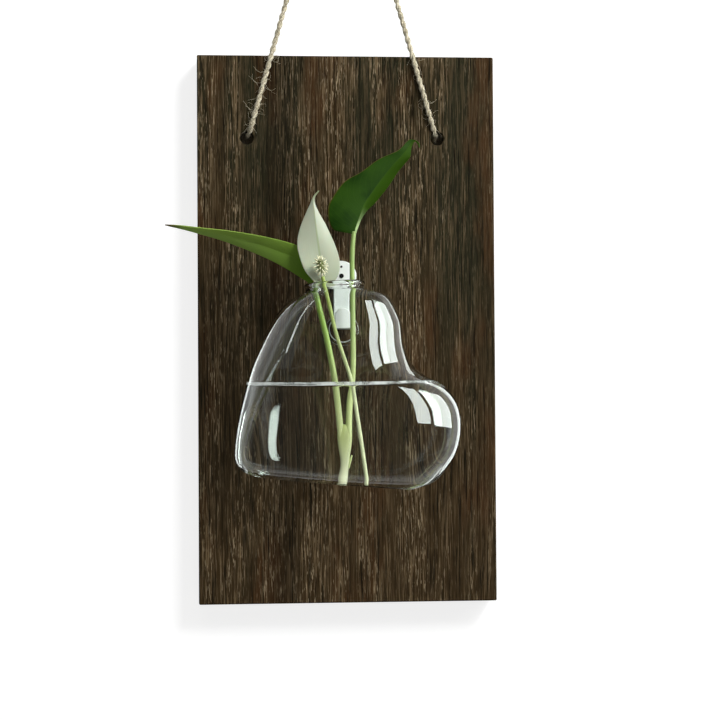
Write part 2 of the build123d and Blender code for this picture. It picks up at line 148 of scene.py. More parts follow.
class Bench:
    """Hand tools: each wraps the operators that shape one piece."""

    @staticmethod
    def clear() -> None:
        """Leave edit mode and deselect everything."""
        if bpy.context.object and bpy.context.object.mode != "OBJECT":
            bpy.ops.object.mode_set(mode="OBJECT")
        bpy.ops.object.select_all(action="DESELECT")

    @staticmethod
    def take(obj: Piece) -> None:
        """Make one object the only selected and active one."""
        Bench.clear()
        obj.select_set(True)
        bpy.context.view_layer.objects.active = obj

    @staticmethod
    @contextmanager
    def editing(obj: Piece) -> Iterator[None]:
        """Edit mode on one object, with all of its mesh selected at the start."""
        Bench.take(obj)
        bpy.ops.object.mode_set(mode="EDIT")
        bpy.ops.mesh.select_mode(type="VERT")
        bpy.ops.mesh.select_all(action="SELECT")
        yield
        bpy.ops.object.mode_set(mode="OBJECT")

    @staticmethod
    def place(obj: Piece) -> None:
        """Move an object's place, turn and size into its mesh."""
        Bench.take(obj)
        bpy.ops.object.transform_apply(location=True, rotation=True, scale=True)

    @staticmethod
    def make(name: str, shape: Callable[..., object], scale: Point = (1.0, 1.0, 1.0), **settings: object) -> Piece:
        """Add a basic shape, placed.

        Args:
            name: Name of the new piece.
            shape: Operator that adds it.
            scale: Its size along its own axes.
            settings: Settings of the operator by name.

        Returns:
            The new piece.
        """
        Bench.clear()
        shape(**settings)
        obj = bpy.context.object
        obj.name = obj.data.name = name
        obj.scale = scale
        Bench.place(obj)
        return obj

    @staticmethod
    def modify(obj: Piece, kind: str, **settings: object) -> None:
        """Add a modifier, set it and apply it.

        Args:
            obj: The object that it shapes.
            kind: Type of the modifier.
            settings: Its settings by name.
        """
        Bench.take(obj)
        modifier = obj.modifiers.new(kind.title(), kind)
        for name, value in settings.items():
            setattr(modifier, name, value)
        bpy.ops.object.modifier_apply(modifier=modifier.name)

    @staticmethod
    def subdivide(obj: Piece) -> None:
        """Round a mesh off by applied subdivision."""
        Bench.modify(obj, "SUBSURF", levels=1, render_levels=1)

    @staticmethod
    def outward(obj: Piece, join: float = 1e-6) -> None:
        """Merge doubles and turn all faces outwards."""
        with Bench.editing(obj):
            bpy.ops.mesh.remove_doubles(threshold=join)
            bpy.ops.mesh.normals_make_consistent(inside=False)

    @staticmethod
    def smooth(obj: Piece, degrees: float = 60.0) -> None:
        """Shade smooth, except across edges sharper than an angle."""
        Bench.take(obj)
        bpy.ops.object.shade_smooth_by_angle(angle=radians(degrees))

    @staticmethod
    def skin(name: str, rings: Sequence[Ring], segments: int) -> Piece:
        """Draw a circle up through cross-sections by extruding and reshaping it; close and round off the piece.

        Args:
            name: Name of the new piece.
            rings: Cross-sections from one end to the other.
            segments: Points round each of them.

        Returns:
            The closed piece.
        """
        first = rings[0]
        obj = Bench.make(name, bpy.ops.mesh.primitive_circle_add, vertices=segments, radius=1.0, location=first.centre)
        with Bench.editing(obj):
            Bench.reshape(Ring(first.centre, 1.0, 1.0), first)
            bpy.ops.mesh.edge_face_add()
            bpy.ops.mesh.select_mode(type="EDGE")
            for here, there in zip(rings, rings[1:]):
                bpy.ops.mesh.extrude_region_move(TRANSFORM_OT_translate={"value": there.centre - here.centre})
                Bench.reshape(Ring(there.centre, here.half_x, here.half_y, here.tilt), there)
        Bench.outward(obj)
        Bench.subdivide(obj)
        return obj

    @staticmethod
    def reshape(here: Ring, there: Ring) -> None:
        """Resize and turn the selected ring in place.

        Args:
            here: What it is now.
            there: What it becomes.
        """
        centre = there.centre
        if here.tilt:
            bpy.ops.transform.rotate(value=-here.tilt, orient_axis="Y", center_override=centre)
        size = (there.half_x / here.half_x, there.half_y / here.half_y, 1.0)
        bpy.ops.transform.resize(value=size, center_override=centre)
        if there.tilt:
            bpy.ops.transform.rotate(value=there.tilt, orient_axis="Y", center_override=centre)

    @staticmethod
    def join(name: str, objects: Sequence[Piece]) -> Piece:
        """Join several meshes into the first one.

        Args:
            name: Name of the joined piece.
            objects: Meshes to join.

        Returns:
            The joined piece.
        """
        first = objects[0]
        Bench.take(first)
        for obj in objects[1:]:
            obj.select_set(True)
        bpy.ops.object.join()
        first.name = first.data.name = name
        return first

    @staticmethod
    def curve(name: str, kind: str, lines: Sequence[Sequence[Point]]) -> Piece:
        """A curve with one spline for each line of points.

        Args:
            name: Name of the new curve.
            kind: Type of its splines.
            lines: Points of each spline.

        Returns:
            The curve.
        """
        curve = bpy.data.curves.new(name, "CURVE")
        curve.dimensions = "3D"
        for line in lines:
            spline = curve.splines.new(kind)
            spline.points.add(len(line) - 1)
            for point, place in zip(spline.points, line):
                point.co = (*place, 1.0)
        obj = bpy.data.objects.new(name, curve)
        bpy.context.collection.objects.link(obj)
        return obj

    @staticmethod
    def rods(name: str, lines: Sequence[Sequence[Vector]], radius: float, sides: int) -> Piece:
        """Round rods along lines of points, as one mesh.

        Args:
            name: Name of the new piece.
            lines: Points of each rod.
            radius: Radius of the rods.
            sides: Corners round a rod, a multiple of four.

        Returns:
            The mesh.
        """
        obj = Bench.curve(name, "POLY", lines)
        obj.data.bevel_depth = radius
        obj.data.bevel_resolution = sides // 4 - 1
        obj.data.use_fill_caps = True
        Bench.take(obj)
        bpy.ops.object.convert(target="MESH")
        return bpy.context.object


def hide(obj: Piece, *rays: str) -> None:
    """Keep an object out of sight of some kinds of rays."""
    for ray in rays:
        setattr(obj, "visible_" + ray, False)


def fit(obj: Piece, body: Body, slot: str, material: Material, *nodes: str) -> None:
    """Finish a piece: its material, the body it moves with and what it stands for.

    Args:
        obj: The piece.
        body: Body that carries it.
        slot: The record's material slot; not used.
        material: Its finish.
        nodes: Solids that it stands for.
    """
    obj.data.materials.clear()
    obj.data.materials.append(material)
    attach(obj, body.value)
    if nodes:
        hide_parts(*nodes)
    LOG.info("%s: %d faces on %s", obj.name, len(obj.data.polygons), body.value)


def dress(node: str, material: Material) -> None:
    """Give a solid that stays in view its finish.

    Args:
        node: Name of the solid.
        material: Its finish.
    """
    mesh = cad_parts[node].data
    mesh.materials.clear()
    mesh.materials.append(material)
    LOG.info("%s: finished as %s", node, material.name)


class Graph:
    """Nodes laid one by one in front of the shader of a material or a world."""

    def __init__(self, name: str, world: bpy.types.World | None = None) -> None:
        """Start a material of a given name, or work on a world."""
        self.material = world or bpy.data.materials.new(name)
        self.material.use_nodes = True
        self.tree = self.material.node_tree
        self.shader = self.tree.nodes["Background" if world else "Principled BSDF"]

    def add(self, kind: str, inputs: dict[str | int, object] | None = None, **settings: object) -> bpy.types.Node:
        """Add a node.

        Args:
            kind: Type of the node, without its common prefix.
            inputs: Values or sockets by the name or number of the input.
            settings: Settings of the node by name.

        Returns:
            The node.
        """
        node = self.tree.nodes.new("ShaderNode" + kind)
        for name, value in settings.items():
            setattr(node, name, value)
        for name, value in (inputs or {}).items():
            self.feed(node.inputs[name], value)
        return node

    def feed(self, socket: Socket, value: object) -> None:
        """Set an input to a value, or link a socket to it."""
        if isinstance(value, Socket):
            self.tree.links.new(value, socket)
        elif isinstance(value, tuple) and socket.type == "RGBA":
            socket.default_value = (*value, 1.0)
        else:
            socket.default_value = value

    def where(self, scale: Point = (1.0, 1.0, 1.0), source: Socket | None = None) -> Socket:
        """Places on the object, stretched by a scale.

        Args:
            scale: Pattern repeats in a metre along each axis.
            source: Places to use instead of the object's own.

        Returns:
            The stretched place.
        """
        source = source or self.add("TexCoord").outputs["Object"]
        return self.add("Mapping", {"Vector": source, "Scale": scale}).outputs["Vector"]

    def noise(self, scale: Point, detail: float = 2.0, rough: float = 0.5, source: Socket | None = None) -> Socket:
        """A cloudy pattern, stretched by its scale along each axis.

        Args:
            scale: Pattern repeats in a metre along each axis.
            detail: Finer octaves.
            rough: Strength of the finer octaves.
            source: Places to use instead of the object's own.

        Returns:
            A number around one half.
        """
        inputs = {"Vector": self.where(scale, source), "Scale": 1.0, "Detail": detail, "Roughness": rough}
        return self.add("TexNoise", inputs).outputs["Fac"]

    def spread(self, value: object, low: float, high: float, start: float = 0.0, end: float = 1.0,
               how: str = "SMOOTHSTEP") -> Socket:
        """A number moved from one range to another.

        Args:
            value: The number.
            low: Where it starts to count.
            high: Where it has its full effect.
            start: Result below the range.
            end: Result above the range.
            how: Course between the two, with a soft start and end unless said otherwise.

        Returns:
            The moved number.
        """
        inputs = {"Value": value, "From Min": low, "From Max": high, "To Min": start, "To Max": end}
        return self.add("MapRange", inputs, interpolation_type=how).outputs["Result"]

    def work(self, operation: str, first: object, second: object = 0.0) -> Socket:
        """Arithmetic on two numbers."""
        return self.add("Math", {0: first, 1: second}, operation=operation).outputs[0]

    def mix(self, share: object, first: object, second: object) -> Socket:
        """Two colours mixed by a share of the second one."""
        return self.add("Mix", {0: share, 6: first, 7: second}, data_type="RGBA").outputs[2]

    def layers(self, colour: object, *coats: tuple[object, object]) -> Socket:
        """Coats of colour over a first one, each given as its share and its colour."""
        for share, coat in coats:
            colour = self.mix(share, colour, coat)
        return colour

    def bump(self, height: Socket, distance: float, strength: float = 1.0) -> None:
        """Raise the surface by a pattern."""
        inputs = {"Height": height, "Distance": distance, "Strength": strength}
        self.set({"Normal": self.add("Bump", inputs).outputs["Normal"]})

    def set(self, values: dict[str, object]) -> None:
        """Set or link inputs of the shader by name."""
        for name, value in values.items():
            self.feed(self.shader.inputs[name], value)

    def axis(self, letter: str) -> Socket:
        """One coordinate of the places on the object."""
        return self.add("SeparateXYZ", {"Vector": self.where()}).outputs[letter]

    def chart(self) -> tuple[Socket, Socket, Socket]:
        """Places on the piece's own flat chart: across it, along it and off its middle line."""
        split = self.add("SeparateXYZ", {"Vector": self.add("TexCoord").outputs["UV"]}).outputs
        off = self.work("ABSOLUTE", self.work("SUBTRACT", split["X"], 0.5))
        return split["X"], split["Y"], off


@dataclass(frozen=True)
class StainedWood:
    """Dark stained, brushed plank with a fine upright grain and a dark oval at the left middle, partly the wood's own
    dark patch and partly painted shadow; places in metres.
    """

    deep: Colour = (0.0042, 0.0038, 0.0018)
    olive: Colour = (0.0190, 0.0178, 0.0088)
    brown: Colour = (0.0330, 0.0205, 0.0085)
    russet: Colour = (0.0520, 0.0235, 0.0085)
    hair: Colour = (0.150, 0.104, 0.054)
    fleck: Colour = (0.36, 0.28, 0.17)
    calm: Span = (0.045, 0.062)
    band_x: float = -0.031
    band_half: float = 0.012
    low_z: float = -0.390
    high_z: float = -0.140
    lively: float = 0.13
    # A dark oval at the left middle: partly the wood's own dark patch, partly painted shadow.
    dark_patch_and_shadow_at: Span = (-0.062, -0.285)
    dark_patch_and_shadow_half: Span = (0.030, 0.085)
    sway: float = 0.0008
    sways: Pattern = ((26.0, 26.0, 40.0), 3.0, 0.55)
    zones: Pattern = ((38.0, 38.0, 1.3), 3.0, 0.55)
    patches: Pattern = ((48.0, 48.0, 14.0), 3.0, 0.6)
    fibres: Pattern = ((850.0, 850.0, 15.0), 4.0, 0.65)
    clusters: Pattern = ((105.0, 105.0, 8.0), 3.0, 0.58)
    hairs: Pattern = ((2000.0, 2000.0, 58.0), 3.0, 0.66)
    dashes: Pattern = ((1900.0, 1900.0, 170.0), 2.0, 0.6)
    pores: Pattern = ((1350.0, 1350.0, 34.0), 2.0, 0.6)

    def material(self) -> Material:
        """Build the finish."""
        g = Graph("stained_wood")
        across, height = g.axis("X"), g.axis("Z")
        sway = g.work("MULTIPLY", g.noise(*self.sways), self.sway)
        shift = g.add("CombineXYZ", {"X": sway}).outputs["Vector"]
        plank = g.add("VectorMath", {0: g.where(), 1: shift}).outputs["Vector"]
        warmth = g.spread(height, self.low_z, self.high_z, 0.16, -0.10)
        zone = g.spread(g.work("ADD", g.noise(*self.zones), warmth), 0.36, 0.62)
        patch = g.spread(g.noise(*self.patches), 0.50, 0.68, 0.0, 0.75)
        fibre = g.noise(*self.fibres, plank)
        furrow = g.spread(fibre, 0.32, 0.50, 0.65, 0.0)
        calm = g.spread(across, *self.calm, 0.0, -0.09)
        lively = g.spread(height, self.low_z, self.low_z + self.lively, 0.05, 0.0)
        cluster = g.work("ADD", g.noise(*self.clusters), g.work("ADD", calm, lively))
        hairs = g.spread(g.noise(*self.hairs, plank), 0.47, 0.64)
        hair = g.work("MULTIPLY", hairs, g.spread(cluster, 0.37, 0.60, 0.26, 0.92))
        dashes = g.spread(g.noise(*self.dashes, plank), 0.57, 0.70)
        dash = g.work("MULTIPLY", dashes, g.spread(cluster, 0.43, 0.64, 0.10, 0.85))
        pore = g.spread(g.noise(*self.pores, plank), 0.33, 0.44, 0.8, 0.0)
        off = g.work("ABSOLUTE", g.work("SUBTRACT", across, self.band_x))
        band = g.spread(off, 0.3 * self.band_half, self.band_half, 0.45, 0.0)
        # Painted shadow, partly the wood's own dark patch: a dark oval at the left middle of the board.
        oval = [g.work("POWER", g.work("ABSOLUTE", g.work("DIVIDE", g.work("SUBTRACT", axis, at), half)), 2.0)
                for axis, at, half in zip((across, height), self.dark_patch_and_shadow_at, self.dark_patch_and_shadow_half)]
        dark_patch_and_shadow = g.spread(g.work("ADD", *oval), 0.1, 1.0, 0.5, 0.0)
        colour = g.layers(self.olive, (zone, self.brown), (patch, self.russet), (furrow, self.deep), (hair, self.hair),
                          (dash, self.fleck), (pore, self.deep), (band, self.deep), (dark_patch_and_shadow, self.deep))
        g.set({"Base Color": colour, "Roughness": g.spread(fibre, 0.3, 0.7, 0.78, 0.58), "Specular IOR Level": 0.02})
        g.bump(g.work("SUBTRACT", g.work("ADD", hair, dash), pore), 0.00025, 0.7)
        return g.material


@dataclass(frozen=True)
class MouldedPlastic:
    """White moulded plastic, slightly uneven."""

    white: Colour = (0.86, 0.915, 0.87)
    shade: Colour = (0.81, 0.87, 0.81)

    def material(self) -> Material:
        """Build the finish."""
        g = Graph("white_plastic")
        cloud = g.noise((160.0, 160.0, 110.0), 3.0, 0.5)
        g.set({"Base Color": g.mix(g.spread(cloud, 0.4, 0.7), self.white, self.shade),
               "Roughness": g.spread(cloud, 0.3, 0.7, 0.28, 0.42)})
        g.bump(g.noise((900.0, 900.0, 900.0), 2.0), 0.00003, 0.5)
        return g.material


@dataclass(frozen=True)
class NailSteel:
    """Dark steel of the small fasteners."""

    name: str
    colour: Colour
    metal: float

    def material(self) -> Material:
        """Build the finish."""
        g = Graph(self.name)
        cloud = g.noise((2500.0, 2500.0, 2500.0), 3.0, 0.6)
        lighter = tuple(1.8 * c for c in self.colour)
        g.set({"Base Color": g.mix(g.spread(cloud, 0.4, 0.7), self.colour, lighter), "Metallic": self.metal,
               "Roughness": g.spread(cloud, 0.3, 0.7, 0.5, 0.7), "Specular IOR Level": 0.08})
        return g.material


@dataclass(frozen=True)
class ClearGlass:
    """Blown clear glass with a trace of green."""

    tint: Colour = (0.965, 0.990, 0.975)

    def material(self) -> Material:
        """Build the finish."""
        g = Graph("clear_glass")
        g.set({"Base Color": self.tint, "Roughness": 0.0, "IOR": 1.5, "Transmission Weight": 1.0})
        waves = g.noise((60.0, 60.0, 38.0), 2.0, 0.4)
        g.bump(waves, 0.0004, 0.5)
        return g.material


@dataclass(frozen=True)
class GroundGlass:
    """Glass frosted by a drill."""

    white: Colour = (0.86, 0.90, 0.87)

    def material(self) -> Material:
        """Build the finish."""
        g = Graph("ground_glass")
        grain = g.noise((4000.0, 4000.0, 4000.0), 2.0, 0.6)
        g.set({"Base Color": self.white, "Roughness": g.spread(grain, 0.3, 0.7, 0.35, 0.6),
               "Transmission Weight": 0.45})
        g.bump(grain, 0.00005, 0.6)
        return g.material


@dataclass(frozen=True)
class ClearWater:
    """Still water."""

    tint: Colour = (0.985, 0.995, 0.985)

    def material(self) -> Material:
        """Build the finish."""
        g = Graph("water")
        g.set({"Base Color": self.tint, "Roughness": 0.0, "IOR": 1.333, "Transmission Weight": 1.0})
        return g.material


@dataclass(frozen=True)
class WaterRimPaintedShine:
    """Edge of the water where it climbs the glass, whitened as a painted highlight that is strongest at the left;
    places in metres.
    """

    white: Colour = (0.90, 0.95, 0.92)
    left_x: Span = (-0.045, -0.030)
    right_x: Span = (0.002, 0.022)

    def material(self) -> Material:
        """Build the finish."""
        g = Graph("water_rim_painted_shine")
        ripple = g.noise((180.0, 180.0, 180.0), 2.0, 0.5)
        across = g.axis("X")
        # Painted highlight: the edge is whiter at the left and clearer at the right.
        bright = g.spread(across, *self.left_x, -0.40, 0.0)
        faint = g.spread(across, *self.right_x, 0.0, 0.18)
        g.set({"Base Color": self.white, "IOR": 1.333, "Roughness": 0.25})
        clear = g.spread(ripple, 0.35, 0.65, 0.42, 0.8)
        g.set({"Transmission Weight": g.work("ADD", clear, g.work("ADD", bright, faint))})
        return g.material


@dataclass(frozen=True)
class JuteTwine:
    """Pale hairy two-ply twine."""

    pale: Colour = (0.70, 0.645, 0.49)
    dark: Colour = (0.22, 0.18, 0.10)

    def material(self) -> Material:
        """Build the finish."""
        g = Graph("jute")
        threads = g.noise((2600.0, 2600.0, 900.0), 3.0, 0.65)
        patches = g.noise((130.0, 130.0, 130.0), 2.0, 0.5)
        colour = g.mix(g.spread(threads, 0.38, 0.60), self.dark, self.pale)
        g.set({"Base Color": g.mix(g.spread(patches, 0.4, 0.75, 0.0, 0.45), colour, self.pale), "Roughness": 0.95,
               "Specular IOR Level": 0.2})
        g.bump(threads, 0.00018)
        return g.material


@dataclass(frozen=True)
class StemSkin:
    """Green stem that turns paler towards its foot, partly its own paler foot and partly painted highlight on the part
    in the water; heights in metres.
    """

    name: str
    top: Colour
    low: Colour
    top_z: float
    low_z: float
    streak: Colour = (0.80, 0.88, 0.50)

    def material(self) -> Material:
        """Build the finish."""
        g = Graph(self.name)
        height = g.axis("Z")
        # The paler low colour is partly painted highlight on the part in the water.
        colour = g.mix(g.spread(height, self.low_z, self.top_z), self.low, self.top)
        streaks = g.noise((1300.0, 1300.0, 45.0), 3.0, 0.6)
        g.set({"Base Color": g.mix(g.spread(streaks, 0.45, 0.75, 0.0, 0.2), colour, self.streak),
               "Roughness": g.spread(streaks, 0.3, 0.7, 0.34, 0.5), "Specular IOR Level": 0.2})
        g.bump(streaks, 0.00008, 0.6)
        return g.material


@dataclass(frozen=True)
class LeafSkin:
    """Leaf with a sunken midrib and faint side veins, and painted light on its second half, on the blade's own chart.
    """

    name: str
    green: Colour
    light: Colour
    # Colour of the second half: painted light, lighter on the half that faces the light.
    second: Colour
    rib: Colour
    margin: Colour
    tip: Colour
    foot: Colour
    both: bool = False
    veins: float = 26.0

    def material(self) -> Material:
        """Build the finish."""
        g = Graph(self.name)
        across, along, off = g.chart()
        half = g.spread(across, 0.496, 0.51)
        cloud = g.noise((55.0, 55.0, 55.0), 3.0, 0.55)
        slant = g.work("SUBTRACT", along, g.work("MULTIPLY", off, 0.42))
        wave = g.work("SINE", g.work("MULTIPLY", slant, self.veins * 2 * pi))
        vein = g.spread(wave, 0.72, 1.0)
        rib = g.spread(off, 0.002, 0.012, 1.0, 0.0)
        edge = g.work("MULTIPLY", g.spread(off, 0.478, 0.494), g.spread(half, 0.0, 1.0, 0.25, 0.75))
        reach = 0.75 if self.both else 0.34
        foot = g.work("MULTIPLY", g.spread(along, 0.10, reach, 1.0, 0.0), 1.0 if self.both else half)
        # The second half takes its painted-light colour.
        colour = g.layers(
            self.green, (g.spread(cloud, 0.38, 0.66, 0.0, 0.8), self.light), (half, self.second),
            (g.work("MULTIPLY", vein, 0.25), self.light), (g.work("MULTIPLY", rib, 0.5), self.rib),
            (edge, self.margin), (g.spread(along, 0.86, 0.98), self.tip), (foot, self.foot))
        g.set({"Base Color": colour, "Roughness": g.spread(cloud, 0.3, 0.7, 0.42, 0.55), "Specular IOR Level": 0.03})
        relief = g.work("SUBTRACT", g.work("MULTIPLY", vein, -0.3), rib)
        g.bump(relief, 0.00012, 0.5)
        return g.material


@dataclass(frozen=True)
class Petal:
    """White hood with a green midline and faint long veins."""

    white: Colour = (0.445, 0.490, 0.365)
    green: Colour = (0.24, 0.32, 0.12)

    def material(self) -> Material:
        """Build the finish."""
        g = Graph("white_petal")
        across, along, off = g.chart()
        cloud = g.noise((120.0, 120.0, 60.0), 2.0, 0.5)
        veins = g.spread(g.work("SINE", g.work("MULTIPLY", across, 120.0)), 0.3, 1.0)
        streaks, patches = g.work("MULTIPLY", veins, 0.04), g.spread(cloud, 0.4, 0.7, 0.0, 0.12)
        middle = g.spread(off, 0.0, 0.045, 0.5, 0.0)
        tip = g.spread(along, 0.74, 1.0, 0.0, 0.65)
        foot = g.spread(along, 0.0, 0.16, 0.5, 0.0)
        colour = g.layers(self.white, *((share, self.green) for share in (streaks, patches, middle, tip, foot)))
        g.set({"Base Color": colour, "Roughness": g.spread(cloud, 0.0, 1.0, 0.45, 0.6), "Specular IOR Level": 0.25,
               "Subsurface Weight": 0.1, "Subsurface Scale": 0.001})
        g.bump(veins, 0.00002, 0.4)
        return g.material


@dataclass(frozen=True)
class SpadixSkin:
    """Cream spikes over a dark green core, which is painted shade in the gaps between them."""

    cream: Colour = (0.90, 0.88, 0.62)
    # Painted shade: the dark core colour that fills the gaps between the pins.
    core: Colour = (0.20, 0.24, 0.07)

    def material(self) -> Material:
        """Build the finish."""
        g = Graph("cream_spadix")
        cloud = g.noise((1500.0, 1500.0, 1500.0), 2.0, 0.5)
        shade = g.mix(g.spread(cloud, 0.4, 0.7, 0.0, 0.35), self.cream, self.core)
        height = g.add("Attribute", attribute_name="reach").outputs["Fac"]
        # The core and the feet of the pins take the core colour as painted shade between the pins.
        g.set({"Base Color": g.mix(g.spread(height, 0.05, 0.55), self.core, shade),
               "Roughness": g.spread(cloud, 0.3, 0.7, 0.5, 0.65)})
        return g.material


@dataclass(frozen=True)
class Pane:
    """One pane of light, placed by its bearing from the glass.

    The bearing is in degrees to the right of straight ahead of the board, and the rise in degrees up.
    """

    name: str
    bearing: Span
    rise: Span
    radiance: float
    use: Use
    away: float = 1.2


@dataclass
class Studio:
    """Camera at the photograph's viewpoint, soft window light, and a plain pale stage.

    Places are in metres and angles in degrees. The lamps' aim is in millimetres off the hanging hole.
    """

    camera_at: Point = (-0.0635, -0.8982, -0.2856)
    yaw: float = 4.56
    pitch: float = 1.08
    roll: float = -0.34
    lens: float = 89.64
    wall_y: float = BOARD_BACK_Y * MM + 0.0006
    floor_z: float = -0.62
    floor_level: float = 0.12
    floor_span: Span = (-0.85, -0.45)
    stage_size: float = 4.0
    paint: Colour = (0.37, 0.37, 0.365)
    glow: float = 0.78
    daylight: Colour = (0.92, 1.0, 0.955)
    aim_z: float = -20.0
    sensor: float = 36.0
    levels: tuple[Point, ...] = ((-0.97, 0.04), (-0.7, 0.06), (-0.1, 0.20), (0.45, 1.0))
    clear_levels: tuple[Point, Point] = ((-0.40, 0.03), (0.05, 1.0))
    panes: tuple[Pane, ...] = (
        Pane("near_pane", (40.0, 52.5), (-6.0, 30.0), 16.0, Use.MIRRORED),
        Pane("far_pane", (55.5, 88.0), (-6.0, 30.0), 16.0, Use.MIRRORED),
        Pane("back_right_pane", (112.0, 136.0), (-35.0, 45.0), 6.0, Use.MIRRORED),
        Pane("back_left_pane", (-136.0, -122.0), (-35.0, 45.0), 6.0, Use.MIRRORED),
        Pane("high_left_pane", (-52.5, -49.5), (26.0, 52.0), 11.0, Use.MIRRORED),
        Pane("through_pane", (57.0, 69.0), (-6.0, 30.0), 9.0, Use.THROUGH),
        Pane("left_haze", (-85.0, -38.0), (12.0, 50.0), 0.5, Use.MIRRORED),
        Pane("key_soft", (26.0, 44.0), (30.0, 46.0), 36.0, Use.SOFT),
        Pane("right_soft", (40.0, 86.0), (14.0, 60.0), 4.2, Use.SOFT),
        Pane("left_soft", (-45.0, -15.0), (40.0, 64.0), 1.2, Use.SOFT),
        Pane("front_soft", (-14.0, 18.0), (46.0, 64.0), 2.5, Use.SOFT),
        Pane("low_soft", (-45.0, 20.0), (-58.0, -28.0), 1.0, Use.SOFT),
    )

    def build(self) -> None:
        """Set up the camera, the world, the stage and the lamps."""
        self.camera()
        self.world()
        self.stage()
        for pane in self.panes:
            self.window(pane)
        bpy.context.scene.view_settings.view_transform = "Standard"

    def camera(self) -> None:
        """Make the camera."""
        yaw, pitch, roll = (radians(a) for a in (self.yaw, self.pitch, self.roll))
        ahead = Vector((sin(yaw) * cos(pitch), cos(yaw) * cos(pitch), sin(pitch)))
        right = ahead.cross(Vector((0, 0, 1))).normalized()
        up = right.cross(ahead)
        right, up = right * cos(roll) + up * sin(roll), up * cos(roll) - right * sin(roll)
        lens = bpy.data.cameras.new("camera")
        lens.lens = self.lens
        lens.sensor_width = self.sensor
        camera = bpy.data.objects.new("camera", lens)
        bpy.context.scene.collection.objects.link(camera)
        turn = Matrix((right, up, -ahead)).transposed().to_4x4()
        camera.matrix_world = Matrix.Translation(Vector(self.camera_at)) @ turn
        bpy.context.scene.camera = camera

    def world(self) -> None:
        """White to the camera; to all else a soft light, dim from the front and brighter from behind."""
        world = bpy.data.worlds.new("studio")
        bpy.context.scene.world = world
        g = Graph("studio", world)
        split = g.add("SeparateXYZ", {"Vector": g.add("TexCoord").outputs["Generated"]}).outputs
        level = self.levels[0][1]
        for (low, dim), (high, bright) in zip(self.levels, self.levels[1:]):
            level = g.work("ADD", g.spread(split["Y"], low, high, 0.0, bright - dim, "LINEAR"), level)
        floor = g.spread(split["Z"], *self.floor_span, self.floor_level, 0.0, "LINEAR")
        level = g.work("MAXIMUM", floor, level)
        (low, dim), (high, bright) = self.clear_levels
        clear = g.spread(split["Y"], low, high, dim, bright, "LINEAR")
        path = g.add("LightPath").outputs
        through = g.add("Mix", {0: path["Is Transmission Ray"], 2: level, 3: clear}).outputs[0]
        seen = g.add("Mix", {0: path["Is Camera Ray"], 2: through, 3: 1.0}).outputs[0]
        g.set({"Strength": seen, "Color": (1.0, 1.0, 1.0)})

    def stage(self) -> None:
        """A pale wall behind the board and a pale floor below it, each seen from one side."""
        for name, place, turn in (
            ("wall", (0.0, self.wall_y, 0.0), TO_BACK),
            ("floor", (0.0, self.wall_y - self.stage_size / 2, self.floor_z), (0.0, 0.0, 0.0)),
        ):
            plane = Bench.make(name, bpy.ops.mesh.primitive_plane_add, size=self.stage_size, location=place,
                               rotation=turn)
            hide(plane, "diffuse", "glossy", "shadow", "transmission")
            plane.data.materials.append(self.pale(name))

    def pale(self, name: str) -> Material:
        """White paint that keeps a soft shadow, and nothing on its back.

        Args:
            name: Name of the surface.

        Returns:
            The material.
        """
        g = Graph("pale_" + name)
        g.set({"Base Color": self.paint, "Roughness": 1.0, "Specular IOR Level": 0.0,
               "Emission Color": (1.0, 1.0, 1.0), "Emission Strength": self.glow})
        behind = g.add("NewGeometry").outputs["Backfacing"]
        face = g.add("MixShader", {0: behind, 1: g.shader.outputs[0], 2: g.add("BsdfTransparent").outputs[0]})
        g.feed(g.tree.nodes["Material Output"].inputs["Surface"], face.outputs[0])
        return g.material

    def window(self, pane: Pane) -> None:
        """Hang one pane of light, aimed at the glass.

        Args:
            pane: Where it stands and how bright it is.
        """
        left, right = (radians(b) for b in pane.bearing)
        low, high = (tan(radians(r)) * pane.away for r in pane.rise)
        bearing = radians(sum(pane.bearing) / 2)
        off = Vector((sin(bearing) * pane.away, -cos(bearing) * pane.away, (low + high) / 2))
        lamp = bpy.data.lights.new(pane.name, "AREA")
        lamp.shape = "RECTANGLE"
        lamp.size = 2 * pane.away * tan((right - left) / 2)
        lamp.size_y = high - low
        lamp.color = (1.0, 1.0, 1.0) if pane.use is Use.SOFT else self.daylight
        lamp.energy = pane.radiance * pi * lamp.size * lamp.size_y
        hung = bpy.data.objects.new(pane.name, lamp)
        bpy.context.scene.collection.objects.link(hung)
        uses = {"diffuse": Use.SOFT, "glossy": Use.MIRRORED, "transmission": Use.THROUGH}
        hide(hung, "camera", *(ray for ray, use in uses.items() if use is not pane.use))
        turn = Matrix.Rotation(bearing, 4, "Z") @ Matrix.Rotation(radians(90), 4, "X")
        hung.matrix_world = Matrix.Translation(spot(0.0, self.aim_z) + off) @ turn


